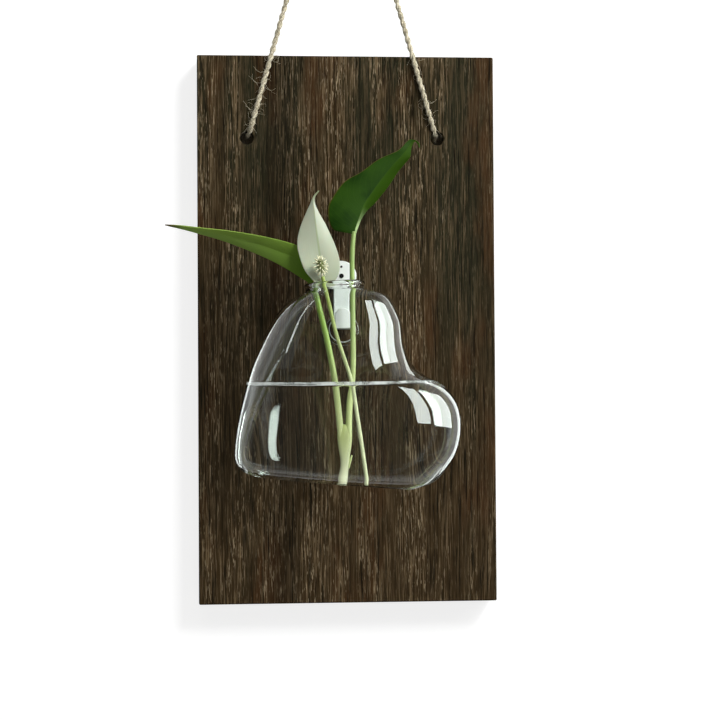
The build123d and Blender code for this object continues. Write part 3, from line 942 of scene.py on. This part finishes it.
@dataclass
class TwineLoop:
    """Hanging loop of two-ply twine with a stopper knot behind each hole; sizes in millimetres."""

    diameter: float = 2.8
    length: float = 343.9
    hole_x: float = 47.0
    hole_z: float = -155.2
    knot_x: float = 48.1
    knot_y: float = 8.2
    crown_x: float = 2.6
    crown_z: float = 1.4
    bend: float = 6.0
    step: float = 0.7
    ply: float = 0.78
    ply_off: float = 0.62
    ply_play: float = 0.08
    pitch: float = 8.5
    hairs: int = 760
    hair: float = 0.042
    hair_steps: int = 7
    hair_root: float = 1.1
    hair_lift: Span = (0.15, 0.9)
    hair_curl: Span = (0.15, 0.75)
    hair_step: Span = (0.5, 1.3)
    hair_y: Span = (-5.0, 1.5)
    hair_above: float = 2.0
    bare_ends: int = 12
    knot_scale: float = 0.92
    knot_step: float = 0.5
    knot_turns: int = 150
    knot_back: float = 2.5
    core_drop: float = 0.7
    knot_core: Point = (3.9, 4.2, 2.4)
    tail: float = 0.28
    tail_ends: int = 14
    tail_step: float = 1.6
    points: list[Vector] = field(default_factory=list)

    def build(self, material: Material) -> None:
        """Make the twine, its fibres and both knots.

        Args:
            material: Finish of the twine.
        """
        self.points = self.route()
        twine = self.strands("twine_loop", self.points)
        fit(twine, Body.BOARD, "jute", material, "hanging_twine")
        fibres = self.fibres(material)
        knots = [self.knot(side, material) for side in Side]

    def route(self) -> list[Vector]:
        """Points along the smooth line of the twine, from the left knot to the right one."""
        leg = Vector((self.hole_x - self.crown_x, 0.0, self.crown_z - self.hole_z))
        steep = leg.normalized() * self.bend * self.diameter
        half = [
            (-self.knot_x, self.knot_y, self.hole_z),
            (-self.hole_x, 0.0, self.hole_z),
            (-self.hole_x + steep.x, 0.0, self.hole_z + steep.z),
            (-self.crown_x - steep.x, 0.0, self.crown_z - steep.z),
            (-self.crown_x, 0.0, self.crown_z),
        ]
        corners = half + [(-x, y, z) for x, y, z in reversed(half)]
        guide = Bench.curve("twine_route", "NURBS", [[tuple(c * MM for c in corner) for corner in corners]])
        spline = guide.data.splines[0]
        spline.order_u = 3
        spline.use_endpoint_u = True
        spline.resolution_u = 48
        bpy.context.view_layer.update()
        mesh = bpy.data.meshes.new_from_object(guide)
        points = [v.co.copy() for v in mesh.vertices]
        bpy.data.objects.remove(guide)
        bpy.data.meshes.remove(mesh)
        return self.even(points, self.step * MM)

    @staticmethod
    def even(points: Sequence[Vector], step: float) -> list[Vector]:
        """The same line with its points at even distances.

        Args:
            points: Points along a line.
            step: Distance between the new points.

        Returns:
            The new points, both ends included.
        """
        line, left = [points[0].copy()], step
        for here, there in zip(points, points[1:]):
            run = (there - here).length
            done = 0.0
            while run - done >= left:
                done += left
                line.append(here.lerp(there, done / run))
                left = step
            left -= run - done
        line.append(points[-1].copy())
        return line

    @staticmethod
    def frames(points: Sequence[Vector]) -> list[tuple[Vector, Vector, Vector]]:
        """A steady pair of cross directions, and the heading, at each point of a line."""
        out = []
        side = Vector((0.3, 1.0, 0.2))
        for index in range(len(points)):
            ahead = points[min(index + 1, len(points) - 1)] - points[max(index - 1, 0)]
            ahead.normalize()
            side = (side - ahead * side.dot(ahead)).normalized()
            out.append((side.copy(), ahead.cross(side), ahead))
        return out

    def strands(self, name: str, points: Sequence[Vector]) -> Piece:
        """Two plies laid round each other along a line.

        Args:
            name: Name of the piece.
            points: The line, in even steps.

        Returns:
            The twisted twine.
        """
        dice = random.Random(7)
        frames = self.frames(points)
        step = (points[1] - points[0]).length
        lines = []
        for ply in range(2):
            line = []
            for index, (place, (side, up, _)) in enumerate(zip(points, frames)):
                angle = 2 * pi * (index * step / (self.pitch * MM) + ply / 2)
                off = self.ply_off * MM * (1 + dice.uniform(-self.ply_play, self.ply_play))
                line.append(place + (side * cos(angle) + up * sin(angle)) * off)
            lines.append(line)
        twine = Bench.rods(name, lines, self.ply * MM, 12)
        Bench.outward(twine)
        Bench.smooth(twine, 80)
        return twine

    def fibres(self, material: Material) -> Piece:
        """Stray hairs that stand off the twine.

        Args:
            material: Finish of the twine.

        Returns:
            The hairs as one piece.
        """
        dice = random.Random(11)
        frames = self.frames(self.points)
        front, back = (y * MM for y in self.hair_y)
        top = (self.crown_z + self.hair_above) * MM
        lines = []
        for _ in range(self.hairs):
            index = dice.randrange(self.bare_ends, len(self.points) - self.bare_ends)
            side, up, ahead = frames[index]
            angle = dice.uniform(0, 2 * pi)
            out = side * cos(angle) + up * sin(angle)
            heading = ahead * dice.choice((-1, 1)) + out * dice.uniform(*self.hair_lift)
            line = [self.points[index] + out * self.hair_root * MM]
            reach = dice.uniform(*self.hair_step) * MM
            bend = Vector([dice.uniform(-1, 1) for _ in range(3)]).normalized()
            curl = Matrix.Rotation(dice.uniform(*self.hair_curl), 3, bend)
            for _ in range(self.hair_steps):
                heading = (curl @ heading).normalized()
                line.append(line[-1] + heading * reach)
            if all(front <= p.y <= back and p.z <= top for p in line):
                lines.append(line)
        hairs = Bench.rods("twine_fibres", lines, self.hair * MM, 4)
        fit(hairs, Body.BOARD, "jute", material)
        return hairs

    def knot(self, side: Side, material: Material) -> Piece:
        """An overhand stopper knot with a frayed tail, in its pocket.

        Args:
            side: Which end of the twine.
            material: Finish of the twine.

        Returns:
            The knot.
        """
        centre = Vector((side.value * self.knot_x, self.knot_y + self.knot_back, self.hole_z)) * MM
        turns = [i / self.knot_turns * 2 * pi for i in range(self.knot_turns + 1)]
        path = [centre + Vector((sin(t) + 2 * sin(2 * t), -1.15 * sin(3 * t), cos(t) - 2 * cos(2 * t)))
                * (self.knot_scale * MM) for t in turns]
        lump = self.strands("knot_lump", self.even(path, self.knot_step * MM))
        dice = random.Random(3 + side.value)
        start = centre + Vector((0, 1.0, 0)) * MM
        ends = []
        for _ in range(self.tail_ends):
            lean = Vector((dice.uniform(-0.5, 0.5), 1.0, dice.uniform(-0.5, 0.5)))
            middle = start + lean * self.tail_step * MM
            droop = Vector((lean.x * 0.6, 1.0, lean.z * 0.6 - 0.3))
            ends.append([start, middle, middle + droop * self.tail_step * MM])
        tail = Bench.rods("knot_tail", ends, self.tail * MM, 8)
        core = Bench.make("knot_core", bpy.ops.mesh.primitive_uv_sphere_add, tuple(c * MM for c in self.knot_core),
                          segments=24, ring_count=12, radius=1.0, rotation=TO_BACK,
                          location=centre - Vector((0, 0, self.core_drop)) * MM)
        end = side.name.lower()
        whole = Bench.join(end + "_stopper_knot", [lump, tail, core])
        Bench.smooth(whole, 80)
        fit(whole, Body.BOARD, "jute", material, end + "_knot")
        return whole


@dataclass
class Bottle:
    """Blown glass bottle in the shape of a leaning heart, and the water in it; in millimetres and degrees."""

    wall: float = 2.0
    shoulder: float = 14.8
    belly: float = 23.7
    foot_ribs: int = 3
    mouth: Point = (-4.85, 21.4)
    mouth_tilt: float = 3.4
    hang_hole: float = 12.6
    level: float = -28.7
    segments: int = 72
    steps: int = 4
    ribs: tuple[Point, ...] = (
        (-39.0, -73.1, 32.0, -79.4, -0.50),
        (-48.5, -70.6, 43.0, -75.9, 0.20),
        (-53.6, -66.1, 50.6, -68.2, 0.58),
        (-54.5, -59.5, 55.4, -59.4, 0.83),
        (-53.3, -49.0, 57.1, -48.0, 0.97),
        (-51.2, -38.3, 55.3, -37.3, 1.00),
        (-49.2, -30.5, 48.9, -28.6, 0.97),
        (-47.3, -23.3, 39.0, -23.1, 0.91),
        (-45.2, -16.7, 32.6, -16.9, 0.83),
        (-41.0, -7.0, 29.3, -7.1, 0.65),
        (-35.9, 2.8, 28.3, 2.6, 0.45),
        (-30.0, 11.0, 24.9, 11.2, 0.24),
        (-24.8, 15.0, 20.8, 16.6, 0.10),
        (-19.3, 17.3, 10.1, 19.4, 0.00),
    )
    lip: tuple[Point, ...] = (
        (14.40, -2.3), (14.20, -1.6), (14.40, -1.0), (14.85, -0.75), (15.05, 0.0), (14.85, 0.75), (14.3, 1.3),
        (13.55, 1.5), (12.8, 1.3), (12.25, 0.75), (12.05, 0.0), (12.05, -1.0), (12.3, -2.1),
    )
    foot_shares: tuple[float, ...] = (0.004, 0.25, 0.5, 0.75, 0.92)
    rim: float = 1.0
    rim_y: float = -3.9
    rim_lean: float = 11.0
    hole_sides: int = 72
    cut_y: float = -0.2
    cut_deep: float = 30.0
    cut_less: float = 0.05
    edge_off: float = 0.3
    edge_thick: float = 0.36
    foot_rise: float = 0.4
    water_gap: float = 0.15
    # Faces of the water this far above its level take the painted highlight.
    painted_shine_above: float = 0.6
    meniscus: tuple[Point, ...] = ((0.3, 0.9), (0.45, 0.6), (0.65, 0.4), (0.9, 0.25), (1.3, 0.15))

    def body(self, inset: float) -> list[Ring]:
        """Cross-sections from the foot to the shoulder, set in by a wall.

        Args:
            inset: Distance inside the outer skin, in millimetres.

        Returns:
            The rings, from the middle of the foot upwards.
        """
        rows = flowing(self.ribs, self.steps)
        rings = []
        for index, (left_x, left_z, right_x, right_z, share) in enumerate(rows):
            turn = min(1.0, index / self.steps / self.foot_ribs)
            tilt = atan2(right_z - left_z, right_x - left_x)
            reach = hypot(right_x - left_x, right_z - left_z) / 2 - inset * turn
            depth = self.shoulder + (self.belly - self.shoulder) * share - inset * turn
            rise = inset * sqrt(1 - turn**2)
            centre = spot((left_x + right_x) / 2, (left_z + right_z) / 2 + rise)
            rings.append(Ring(centre, reach * MM, depth * MM, tilt))
        edge = rings[0]
        up = Vector((-sin(edge.tilt), 0.0, cos(edge.tilt)))
        foot = [Ring(edge.centre + up * self.foot_rise * MM * (1 - f * f), edge.half_x * f, edge.half_y * f, edge.tilt)
                for f in self.foot_shares]
        return foot + rings

    def mouth_rings(self) -> list[Ring]:
        """The neck and its rolled lip, from the outside over the top into the bore."""
        tilt = radians(self.mouth_tilt)
        up = Vector((-sin(tilt), 0.0, cos(tilt)))
        middle = spot(*self.mouth)
        return [Ring(middle + up * along * MM, radius * MM, radius * MM, tilt) for radius, along in self.lip]

    def build(self, glass: Material, ground: Material, water: Material, rim: Material) -> None:
        """Make the bottle and its filling.

        Args:
            glass: Finish of the bottle.
            ground: Finish of the drilled edge of the hanging hole.
            water: Finish of the filling.
            rim: Finish of the edge of the water, which carries its painted highlight.
        """
        rings = self.body(0.0) + self.mouth_rings() + list(reversed(self.body(self.wall)))
        bottle = Bench.skin("glass_bottle", rings, self.segments)
        self.pierce(bottle)
        Bench.smooth(bottle, 50)
        fit(bottle, Body.VASE, "clear_glass", glass, "glass_vase")
        edge = self.hoop("hanging_hole_edge", self.hang_hole / 2 + self.edge_off, self.edge_thick, 12)
        Bench.smooth(edge)
        fit(edge, Body.VASE, "clear_glass", ground)
        filling = self.filling()
        fit(filling, Body.VASE, "water", water, "water")
        self.paint_rim_shine(filling, rim)
        for piece in (bottle, filling):
            hide(piece, "shadow", "diffuse")

    def hoop(self, name: str, radius: float, thick: float, sides: int) -> Piece:
        """A round ring in the hanging hole, along the slope of the back wall.

        Args:
            name: Name of the ring.
            radius: Radius of its middle line, in millimetres.
            thick: Radius of its section, in millimetres.
            sides: Points round the section.

        Returns:
            The ring.
        """
        return Bench.make(name, bpy.ops.mesh.primitive_torus_add, major_segments=self.hole_sides, minor_segments=sides,
                          major_radius=radius * MM, minor_radius=thick * MM, location=spot(0.0, 0.0, self.rim_y),
                          rotation=(radians(90 - self.rim_lean), 0.0, 0.0))

    def pierce(self, bottle: Piece) -> None:
        """Cut the hanging hole through the back wall and give it a melted round rim.

        Args:
            bottle: The closed bottle.
        """
        rim = self.hang_hole / 2 + self.rim
        cutter = Bench.make("cutter", bpy.ops.mesh.primitive_cylinder_add, vertices=self.hole_sides,
                            radius=(rim - self.cut_less) * MM, depth=self.cut_deep * MM,
                            location=spot(0.0, 0.0, self.cut_y), rotation=TO_BACK)
        bead = self.hoop("bead", rim, self.rim, 20)
        for tool, operation in ((cutter, "DIFFERENCE"), (bead, "UNION")):
            Bench.modify(bottle, "BOOLEAN", operation=operation, solver="EXACT", object=tool)
            bpy.data.objects.remove(tool)

    def filling(self) -> Piece:
        """Water up to its level, with a rim that climbs the glass."""
        filling = Bench.skin("water_filling", self.body(self.wall - self.water_gap), self.segments)
        with Bench.editing(filling):
            bpy.ops.mesh.bisect(plane_co=spot(0.0, self.level + sum(d for _, d in self.meniscus)),
                                plane_no=(0, 0, 1), use_fill=True, clear_outer=True)
            for inset, drop in self.meniscus:
                bpy.ops.mesh.inset(thickness=inset * MM)
                bpy.ops.transform.translate(value=(0, 0, -drop * MM))
        Bench.smooth(filling, 75)
        return filling

    def paint_rim_shine(self, filling: Piece, rim: Material) -> None:
        """Give the steep edge of the water its own finish, a painted highlight where its curve would gather the light.

        Args:
            filling: The water.
            rim: Finish of its edge.
        """
        filling.data.materials.append(rim)
        low = spot(0.0, self.level + self.painted_shine_above).z
        for face in filling.data.polygons:
            if all(filling.data.vertices[i].co.z > low for i in face.vertices):
                face.material_index = 1


@dataclass(frozen=True)
class Stem:
    """A round stem in one upright plane, in millimetres off the hanging hole."""

    name: str
    rows: tuple[Point, ...]
    depth: float
    radius: Span
    cap_rise: float = 0.35
    cap_size: float = 0.55

    def build(self) -> Piece:
        """Draw the stem out along its line, with a rounded cap at each end."""
        line = flowing(self.rows, 8)
        rings = []
        last = len(line) - 1
        for index, (x, z) in enumerate(line):
            ahead, behind = line[min(index + 1, last)], line[max(index - 1, 0)]
            tilt = atan2(ahead[1] - behind[1], ahead[0] - behind[0]) + pi / 2
            radius = (self.radius[0] + (self.radius[1] - self.radius[0]) * (index / last)) * MM
            rings.append(Ring(spot(x, z, self.depth), radius, radius, tilt))
        first, final = (
            Ring(end.centre + (end.centre - inner.centre).normalized() * end.half_x * self.cap_rise,
                 end.half_x * self.cap_size, end.half_y * self.cap_size, end.tilt)
            for end, inner in ((rings[0], rings[1]), (rings[-1], rings[-2])))
        stem = Bench.skin(self.name, [first, *rings, final], 16)
        Bench.smooth(stem)
        return stem


@dataclass(frozen=True)
class Blade:
    """A thin leaf or hood through rows of first edge, midrib and second edge, in millimetres."""

    name: str
    rows: tuple[Row, ...]
    thickness: float
    swell: float
    lengthwise: int = 84
    crosswise: int = 24

    def build(self) -> Piece:
        """Lay a grid through the rows, then give it its thickness."""
        line = flowing([tuple(c for place in row for c in place) for row in self.rows], 10)
        blade = Bench.make(self.name, bpy.ops.mesh.primitive_grid_add, x_subdivisions=self.crosswise,
                           y_subdivisions=self.lengthwise, size=2.0)
        for vertex in blade.data.vertices:
            vertex.co = self.lay(line, vertex.co.x, (vertex.co.y + 1) / 2)
        Bench.outward(blade, 1e-7)
        Bench.modify(blade, "SOLIDIFY", thickness=self.thickness * MM, offset=0.0)
        Bench.subdivide(blade)
        Bench.smooth(blade, 70)
        return blade

    def lay(self, line: Sequence[Point], across: float, along: float) -> Vector:
        """Place of one point of the grid.

        Args:
            line: The rows in small steps.
            across: From -1 at the first edge to 1 at the second.
            along: From 0 at the foot to 1 at the tip.

        Returns:
            The place in metres.
        """
        at = along * (len(line) - 1)
        low = min(int(at), len(line) - 2)
        row = [a + (b - a) * (at - low) for a, b in zip(line[low], line[low + 1])]
        first, middle, second = Vector(row[0:3]), Vector(row[3:6]), Vector(row[6:9])
        edge = first if across < 0 else second
        share = abs(across)
        rise = self.swell * (edge - middle).length * sin(pi * share) / 2
        return (middle.lerp(edge, share) + Vector((0.0, -rise, 0.0))) * MM


@dataclass
class LeafShoot:
    """Two leaves on their stalks, which rise from one pale foot on the floor of the glass."""

    leaf_thickness: float = 0.55

    def build(self) -> None:
        """Make the stalks, the foot, the side bud and both leaves."""
        # The pale low colours of the stalks are partly painted highlight in the water.
        green = StemSkin("green_stem", (0.23, 0.39, 0.055), (0.72, 0.81, 0.37), top_z=-0.245, low_z=-0.312).material()
        fresh = StemSkin("fresh_stem", (0.27, 0.40, 0.11), (0.60, 0.70, 0.30), top_z=-0.215, low_z=-0.312).material()
        pale = StemSkin("pale_foot", (0.58, 0.67, 0.26), (0.76, 0.80, 0.52), top_z=-0.303, low_z=-0.324).material()
        left = Stem("left_leaf_stalk", ((-15.1, 22.3), (-11.65, 7.3), (-8.35, -7.1), (-5.3, -23.3), (-3.6, -37.0),
                                        (-2.35, -50.5), (-2.0, -54.2)), SHOOT_Y, (1.4, 1.6))
        fit(left.build(), Body.SHOOT, "green_stem", green, "left_petiole")
        right = Stem("right_leaf_stalk", ((4.9, 47.5), (3.95, 35.0), (4.0, 6.0), (3.95, -22.0), (2.1, -34.6),
                                          (1.35, -50.5), (1.2, -54.2)), SHOOT_Y, (1.15, 1.6))
        fit(right.build(), Body.SHOOT, "green_stem", fresh, "right_petiole")
        fit(self.foot(), Body.SHOOT, "pale_stem", pale, "shoot_base")
        fit(self.bud(), Body.SHOOT, "pale_stem", fresh, "side_bud")
        mid_green = LeafSkin(
            "mid_green_leaf", green=(0.225, 0.355, 0.070), light=(0.245, 0.380, 0.080), second=(0.235, 0.370, 0.062),
            rib=(0.20, 0.33, 0.05), margin=(0.22, 0.32, 0.06), tip=(0.08, 0.06, 0.02), foot=(0.088, 0.180, 0.014),
            both=True)
        # This leaf's lighter second half is painted light on the half that faces the light.
        dark_green = LeafSkin(
            "dark_green_leaf", green=(0.006, 0.025, 0.001), light=(0.021, 0.060, 0.003), second=(0.026, 0.069, 0.002),
            rib=(0.04, 0.09, 0.006), margin=(0.24, 0.16, 0.04), tip=(0.04, 0.09, 0.012), foot=(0.36, 0.50, 0.22))
        leaves = ((self.left_leaf(), mid_green, "left_leaf"), (self.right_leaf(), dark_green, "right_leaf"))
        for blade, skin, node in leaves:
            fit(blade.build(), Body.SHOOT, skin.name, skin.material(), node)

    def foot(self) -> Piece:
        """The common sheath of both stalks."""
        rows = ((-46.6, -0.55, 1.6, 0.7), (-48.4, -0.55, 3.0, 1.35), (-51.5, -0.5, 3.5, 1.85),
                (-56.0, -0.5, 3.2, 2.0), (-60.0, -0.55, 2.5, 1.95), (-63.9, -0.6, 2.0, 1.85),
                (-69.0, -1.2, 2.15, 1.95), (-73.4, -1.9, 2.6, 2.15), (-73.8, -1.9, 1.6, 1.3))
        rings = [Ring(spot(x, z, SHOOT_Y), wide * MM, deep * MM) for z, x, wide, deep in flowing(rows, 3)]
        foot = Bench.skin("shoot_foot", rings, 24)
        Bench.smooth(foot)
        return foot

    def bud(self) -> Piece:
        """A small pointed side shoot."""
        rows = ((0.75, -65.7), (1.3, -64.2), (2.0, -62.6), (2.75, -60.6))
        return Stem("side_shoot", rows, SHOOT_Y, (1.05, 0.35)).build()

    def left_leaf(self) -> Blade:
        """The long leaf that arches out over the left edge of the board."""
        return Blade("left_leaf_blade", (
            ((-17.2, -20.4, -232.2), (-16.4, -20.6, -232.4), (-15.6, -20.9, -232.2)),
            ((-19.3, -19.2, -230.3), (-18.1, -20.4, -229.1), (-16.5, -21.8, -227.8)),
            ((-23.2, -18.2, -227.8), (-20.3, -20.2, -224.2), (-16.7, -22.6, -221.4)),
            ((-29.5, -17.3, -223.8), (-24.7, -19.9, -218.8), (-19.7, -23.2, -215.1)),
            ((-38.3, -16.9, -219.1), (-34.0, -19.8, -215.1), (-29.7, -23.0, -211.0)),
            ((-49.1, -17.4, -214.4), (-46.2, -20.4, -210.9), (-43.9, -23.5, -207.9)),
            ((-60.9, -19.2, -210.1), (-59.2, -21.9, -207.8), (-57.7, -24.4, -205.8)),
            ((-71.6, -21.8, -207.2), (-70.8, -23.6, -205.9), (-70.0, -25.4, -204.6)),
            ((-80.5, -24.4, -205.0), (-80.2, -25.4, -204.2), (-80.0, -26.5, -203.6)),
            ((-88.4, -26.2, -203.3), (-88.4, -26.3, -203.2), (-88.4, -26.4, -203.1)),
        ), self.leaf_thickness, 0.08)

    def right_leaf(self) -> Blade:
        """The folded leaf that stands over the mouth to the right."""
        return Blade("right_leaf_blade", (
            ((3.2, -20.3, -207.0), (4.2, -20.2, -206.8), (5.0, -20.0, -206.8)),
            ((-1.6, -21.0, -206.2), (4.5, -20.1, -204.9), (5.6, -19.3, -204.6)),
            ((-6.1, -21.8, -205.2), (5.1, -20.0, -202.8), (6.6, -18.4, -202.0)),
            ((-8.5, -22.4, -201.3), (6.3, -19.8, -199.6), (7.9, -17.0, -199.1)),
            ((-9.0, -23.0, -195.0), (8.3, -19.5, -194.6), (10.8, -15.4, -194.9)),
            ((-7.5, -23.2, -190.6), (10.5, -19.3, -190.1), (14.9, -14.0, -191.0)),
            ((-1.1, -23.1, -181.7), (15.0, -19.1, -183.7), (21.5, -13.2, -183.0)),
            ((7.4, -22.4, -176.7), (20.0, -18.8, -176.9), (26.5, -13.4, -175.5)),
            ((16.4, -21.4, -170.1), (25.1, -18.4, -170.9), (30.2, -14.2, -171.1)),
            ((25.9, -20.0, -165.7), (29.6, -17.9, -165.9), (32.4, -15.4, -168.3)),
            ((31.1, -18.2, -160.5), (32.2, -17.5, -162.1), (33.0, -16.6, -163.4)),
            ((33.9, -17.6, -159.9), (34.3, -17.4, -160.4), (34.6, -17.2, -160.8)),
            ((36.6, -17.2, -161.2), (36.3, -17.0, -161.5), (36.0, -16.8, -161.8)),
            ((37.2, -16.8, -163.8), (37.1, -16.7, -163.7), (37.0, -16.6, -163.7)),
        ), self.leaf_thickness, 0.06)


@dataclass
class Flower:
    """White hood and cream spike on a thin stalk; in millimetres and degrees."""

    hood_thickness: float = 0.5
    spike_half: Span = (1.45, 3.3)
    spike_reach: Span = (3.9, 5.7)
    spike_gap: float = 0.1
    spikes: int = 50
    lean: float = 30.0
    pin: float = 0.46
    pin_tall: float = 1.0
    pin_rises: tuple[Span, ...] = ((0.25, 0.68), (0.35, 0.85), (0.32, 0.95), (0.08, 0.5))
    stalk: tuple[Point, ...] = (
        (-11.2, 25.0), (-8.0, 11.2), (-4.9, -2.5), (-1.45, -13.5), (2.0, -24.4), (4.2, -37.6), (6.1, -50.7),
        (7.9, -62.6), (9.66, -74.2),
    )

    def build(self) -> None:
        """Make the stalk, the hood and the spike."""
        pale = StemSkin("flower_stalk", (0.30, 0.40, 0.08), (0.66, 0.72, 0.42), top_z=-0.235, low_z=-0.30).material()
        stalk = Stem("flower_stem", self.stalk, FLOWER_Y, (0.95, 0.95))
        fit(stalk.build(), Body.FLOWER, "pale_stem", pale, "flower_stalk")
        fit(self.hood().build(), Body.FLOWER, "white_petal", Petal().material(), "spathe")
        fit(self.spike(), Body.FLOWER, "cream_spadix", SpadixSkin().material(), "spadix")

    def hood(self) -> Blade:
        """The white hood behind the spike: cupped at its foot, bent back above."""
        return Blade("flower_hood", (
            ((-14.6, -28.8, -233.2), (-12.3, -28.4, -233.9), (-9.8, -28.8, -233.4)),
            ((-16.8, -28.2, -230.4), (-12.4, -27.3, -231.0), (-6.3, -28.3, -231.0)),
            ((-20.5, -28.0, -226.0), (-12.6, -26.9, -226.2), (-3.9, -28.0, -226.2)),
            ((-22.8, -27.0, -220.3), (-13.1, -26.6, -220.3), (-3.7, -26.9, -220.3)),
            ((-24.2, -25.8, -214.4), (-13.9, -26.8, -213.5), (-5.4, -25.6, -213.8)),
            ((-24.0, -25.1, -208.9), (-14.6, -27.1, -208.1), (-7.5, -25.0, -208.7)),
            ((-22.2, -25.3, -202.6), (-15.4, -27.3, -202.0), (-10.7, -25.3, -202.1)),
            ((-19.7, -26.2, -196.8), (-16.0, -27.6, -196.5), (-13.8, -26.2, -196.8)),
            ((-17.9, -27.3, -193.0), (-16.5, -28.0, -192.6), (-15.6, -27.3, -193.0)),
            ((-16.7, -28.4, -190.0), (-16.2, -28.6, -189.5), (-15.6, -28.4, -189.8)),
            ((-14.0, -29.4, -186.7), (-13.8, -29.5, -186.7), (-13.6, -29.4, -186.8)),
        ), self.hood_thickness, 0.05)

    def spike(self) -> Piece:
        """The core with its pointed florets, leaning forward from the top of the stalk."""
        root = spot(*self.stalk[0], FLOWER_Y)
        rise = (root - spot(*self.stalk[2], FLOWER_Y)).normalized()
        lean = radians(self.lean)
        axis = Vector((rise.x * cos(lean), -sin(lean), rise.z * cos(lean))).normalized()
        wide, tall = self.spike_half
        core = Bench.make("spike_core", bpy.ops.mesh.primitive_uv_sphere_add, (wide * MM, wide * MM, tall * MM),
                          segments=24, ring_count=16, radius=1.0)
        self.mark(core, False)
        pieces = [core]
        floret = self.floret()
        for index in range(self.spikes):
            up = 1 - 2 * (index + 0.5) / self.spikes
            around = index * pi * (3 - sqrt(5))
            flat = sqrt(1 - up * up)
            foot, tip = (Vector((flat * cos(around) * wide, flat * sin(around) * wide, up * tall)) * MM
                         for wide, tall in (self.spike_half, self.spike_reach))
            out = tip - foot
            copy = floret.copy()
            copy.data = floret.data.copy()
            bpy.context.collection.objects.link(copy)
            copy.matrix_world = (Matrix.Translation(foot) @ self.turned(out)
                                 @ Matrix.Diagonal((1.0, 1.0, out.length / MM, 1.0)))
            pieces.append(copy)
        bpy.data.objects.remove(floret)
        for piece in pieces[1:]:
            Bench.place(piece)
        spike = Bench.join("flower_spike", pieces)
        middle = root + axis * (self.spike_reach[1] + self.spike_gap) * MM
        spike.matrix_world = Matrix.Translation(middle) @ self.turned(axis)
        Bench.place(spike)
        Bench.smooth(spike)
        return spike

    @staticmethod
    def turned(way: Vector) -> Matrix:
        """The turn of an upright thing that points a given way."""
        return way.to_track_quat("Z", "Y").to_matrix().to_4x4()

    def floret(self) -> Piece:
        """One blunt pin, a millimetre tall, that spreads at its foot."""
        floret = Bench.make("floret", bpy.ops.mesh.primitive_circle_add, vertices=6, radius=self.pin * MM,
                            fill_type="NOTHING")
        with Bench.editing(floret):
            for rise, size in self.pin_rises:
                bpy.ops.mesh.extrude_region_move(TRANSFORM_OT_translate={"value": (0, 0, rise * MM)})
                bpy.ops.transform.resize(value=(size, size, 1.0))
            bpy.ops.mesh.edge_face_add()
        Bench.outward(floret)
        self.mark(floret, True)
        return floret

    def mark(self, obj: Piece, grows: bool) -> None:
        """Note on each point how far out it reaches, for the finish.

        Args:
            obj: The piece.
            grows: Whether it reaches out from its foot to its tip, or not at all.
        """
        note = obj.data.attributes.new("reach", "FLOAT", "POINT")
        for vertex, value in zip(obj.data.vertices, note.data):
            value.value = ease(vertex.co.z, 0.0, self.pin_tall * MM) if grows else 0.0


def main() -> None:
    """Build the whole object in order."""
    logging.basicConfig(level=logging.INFO, format="%(name)s %(message)s")
    Studio().build()
    TwineLoop().build(JuteTwine().material())
    dress("back_board", StainedWood().material())
    dress("vase_hook", MouldedPlastic().material())
    dress("hook_nail", NailSteel("black_steel", (0.006, 0.006, 0.006), 0.0).material())
    dress("hook_pin", NailSteel("dark_steel", (0.05, 0.05, 0.05), 0.6).material())
    Bottle().build(ClearGlass().material(), GroundGlass().material(), ClearWater().material(), WaterRimPaintedShine().material())
    LeafShoot().build()
    Flower().build()
    bpy.context.view_layer.update()


if __name__ == "__main__":
    main()
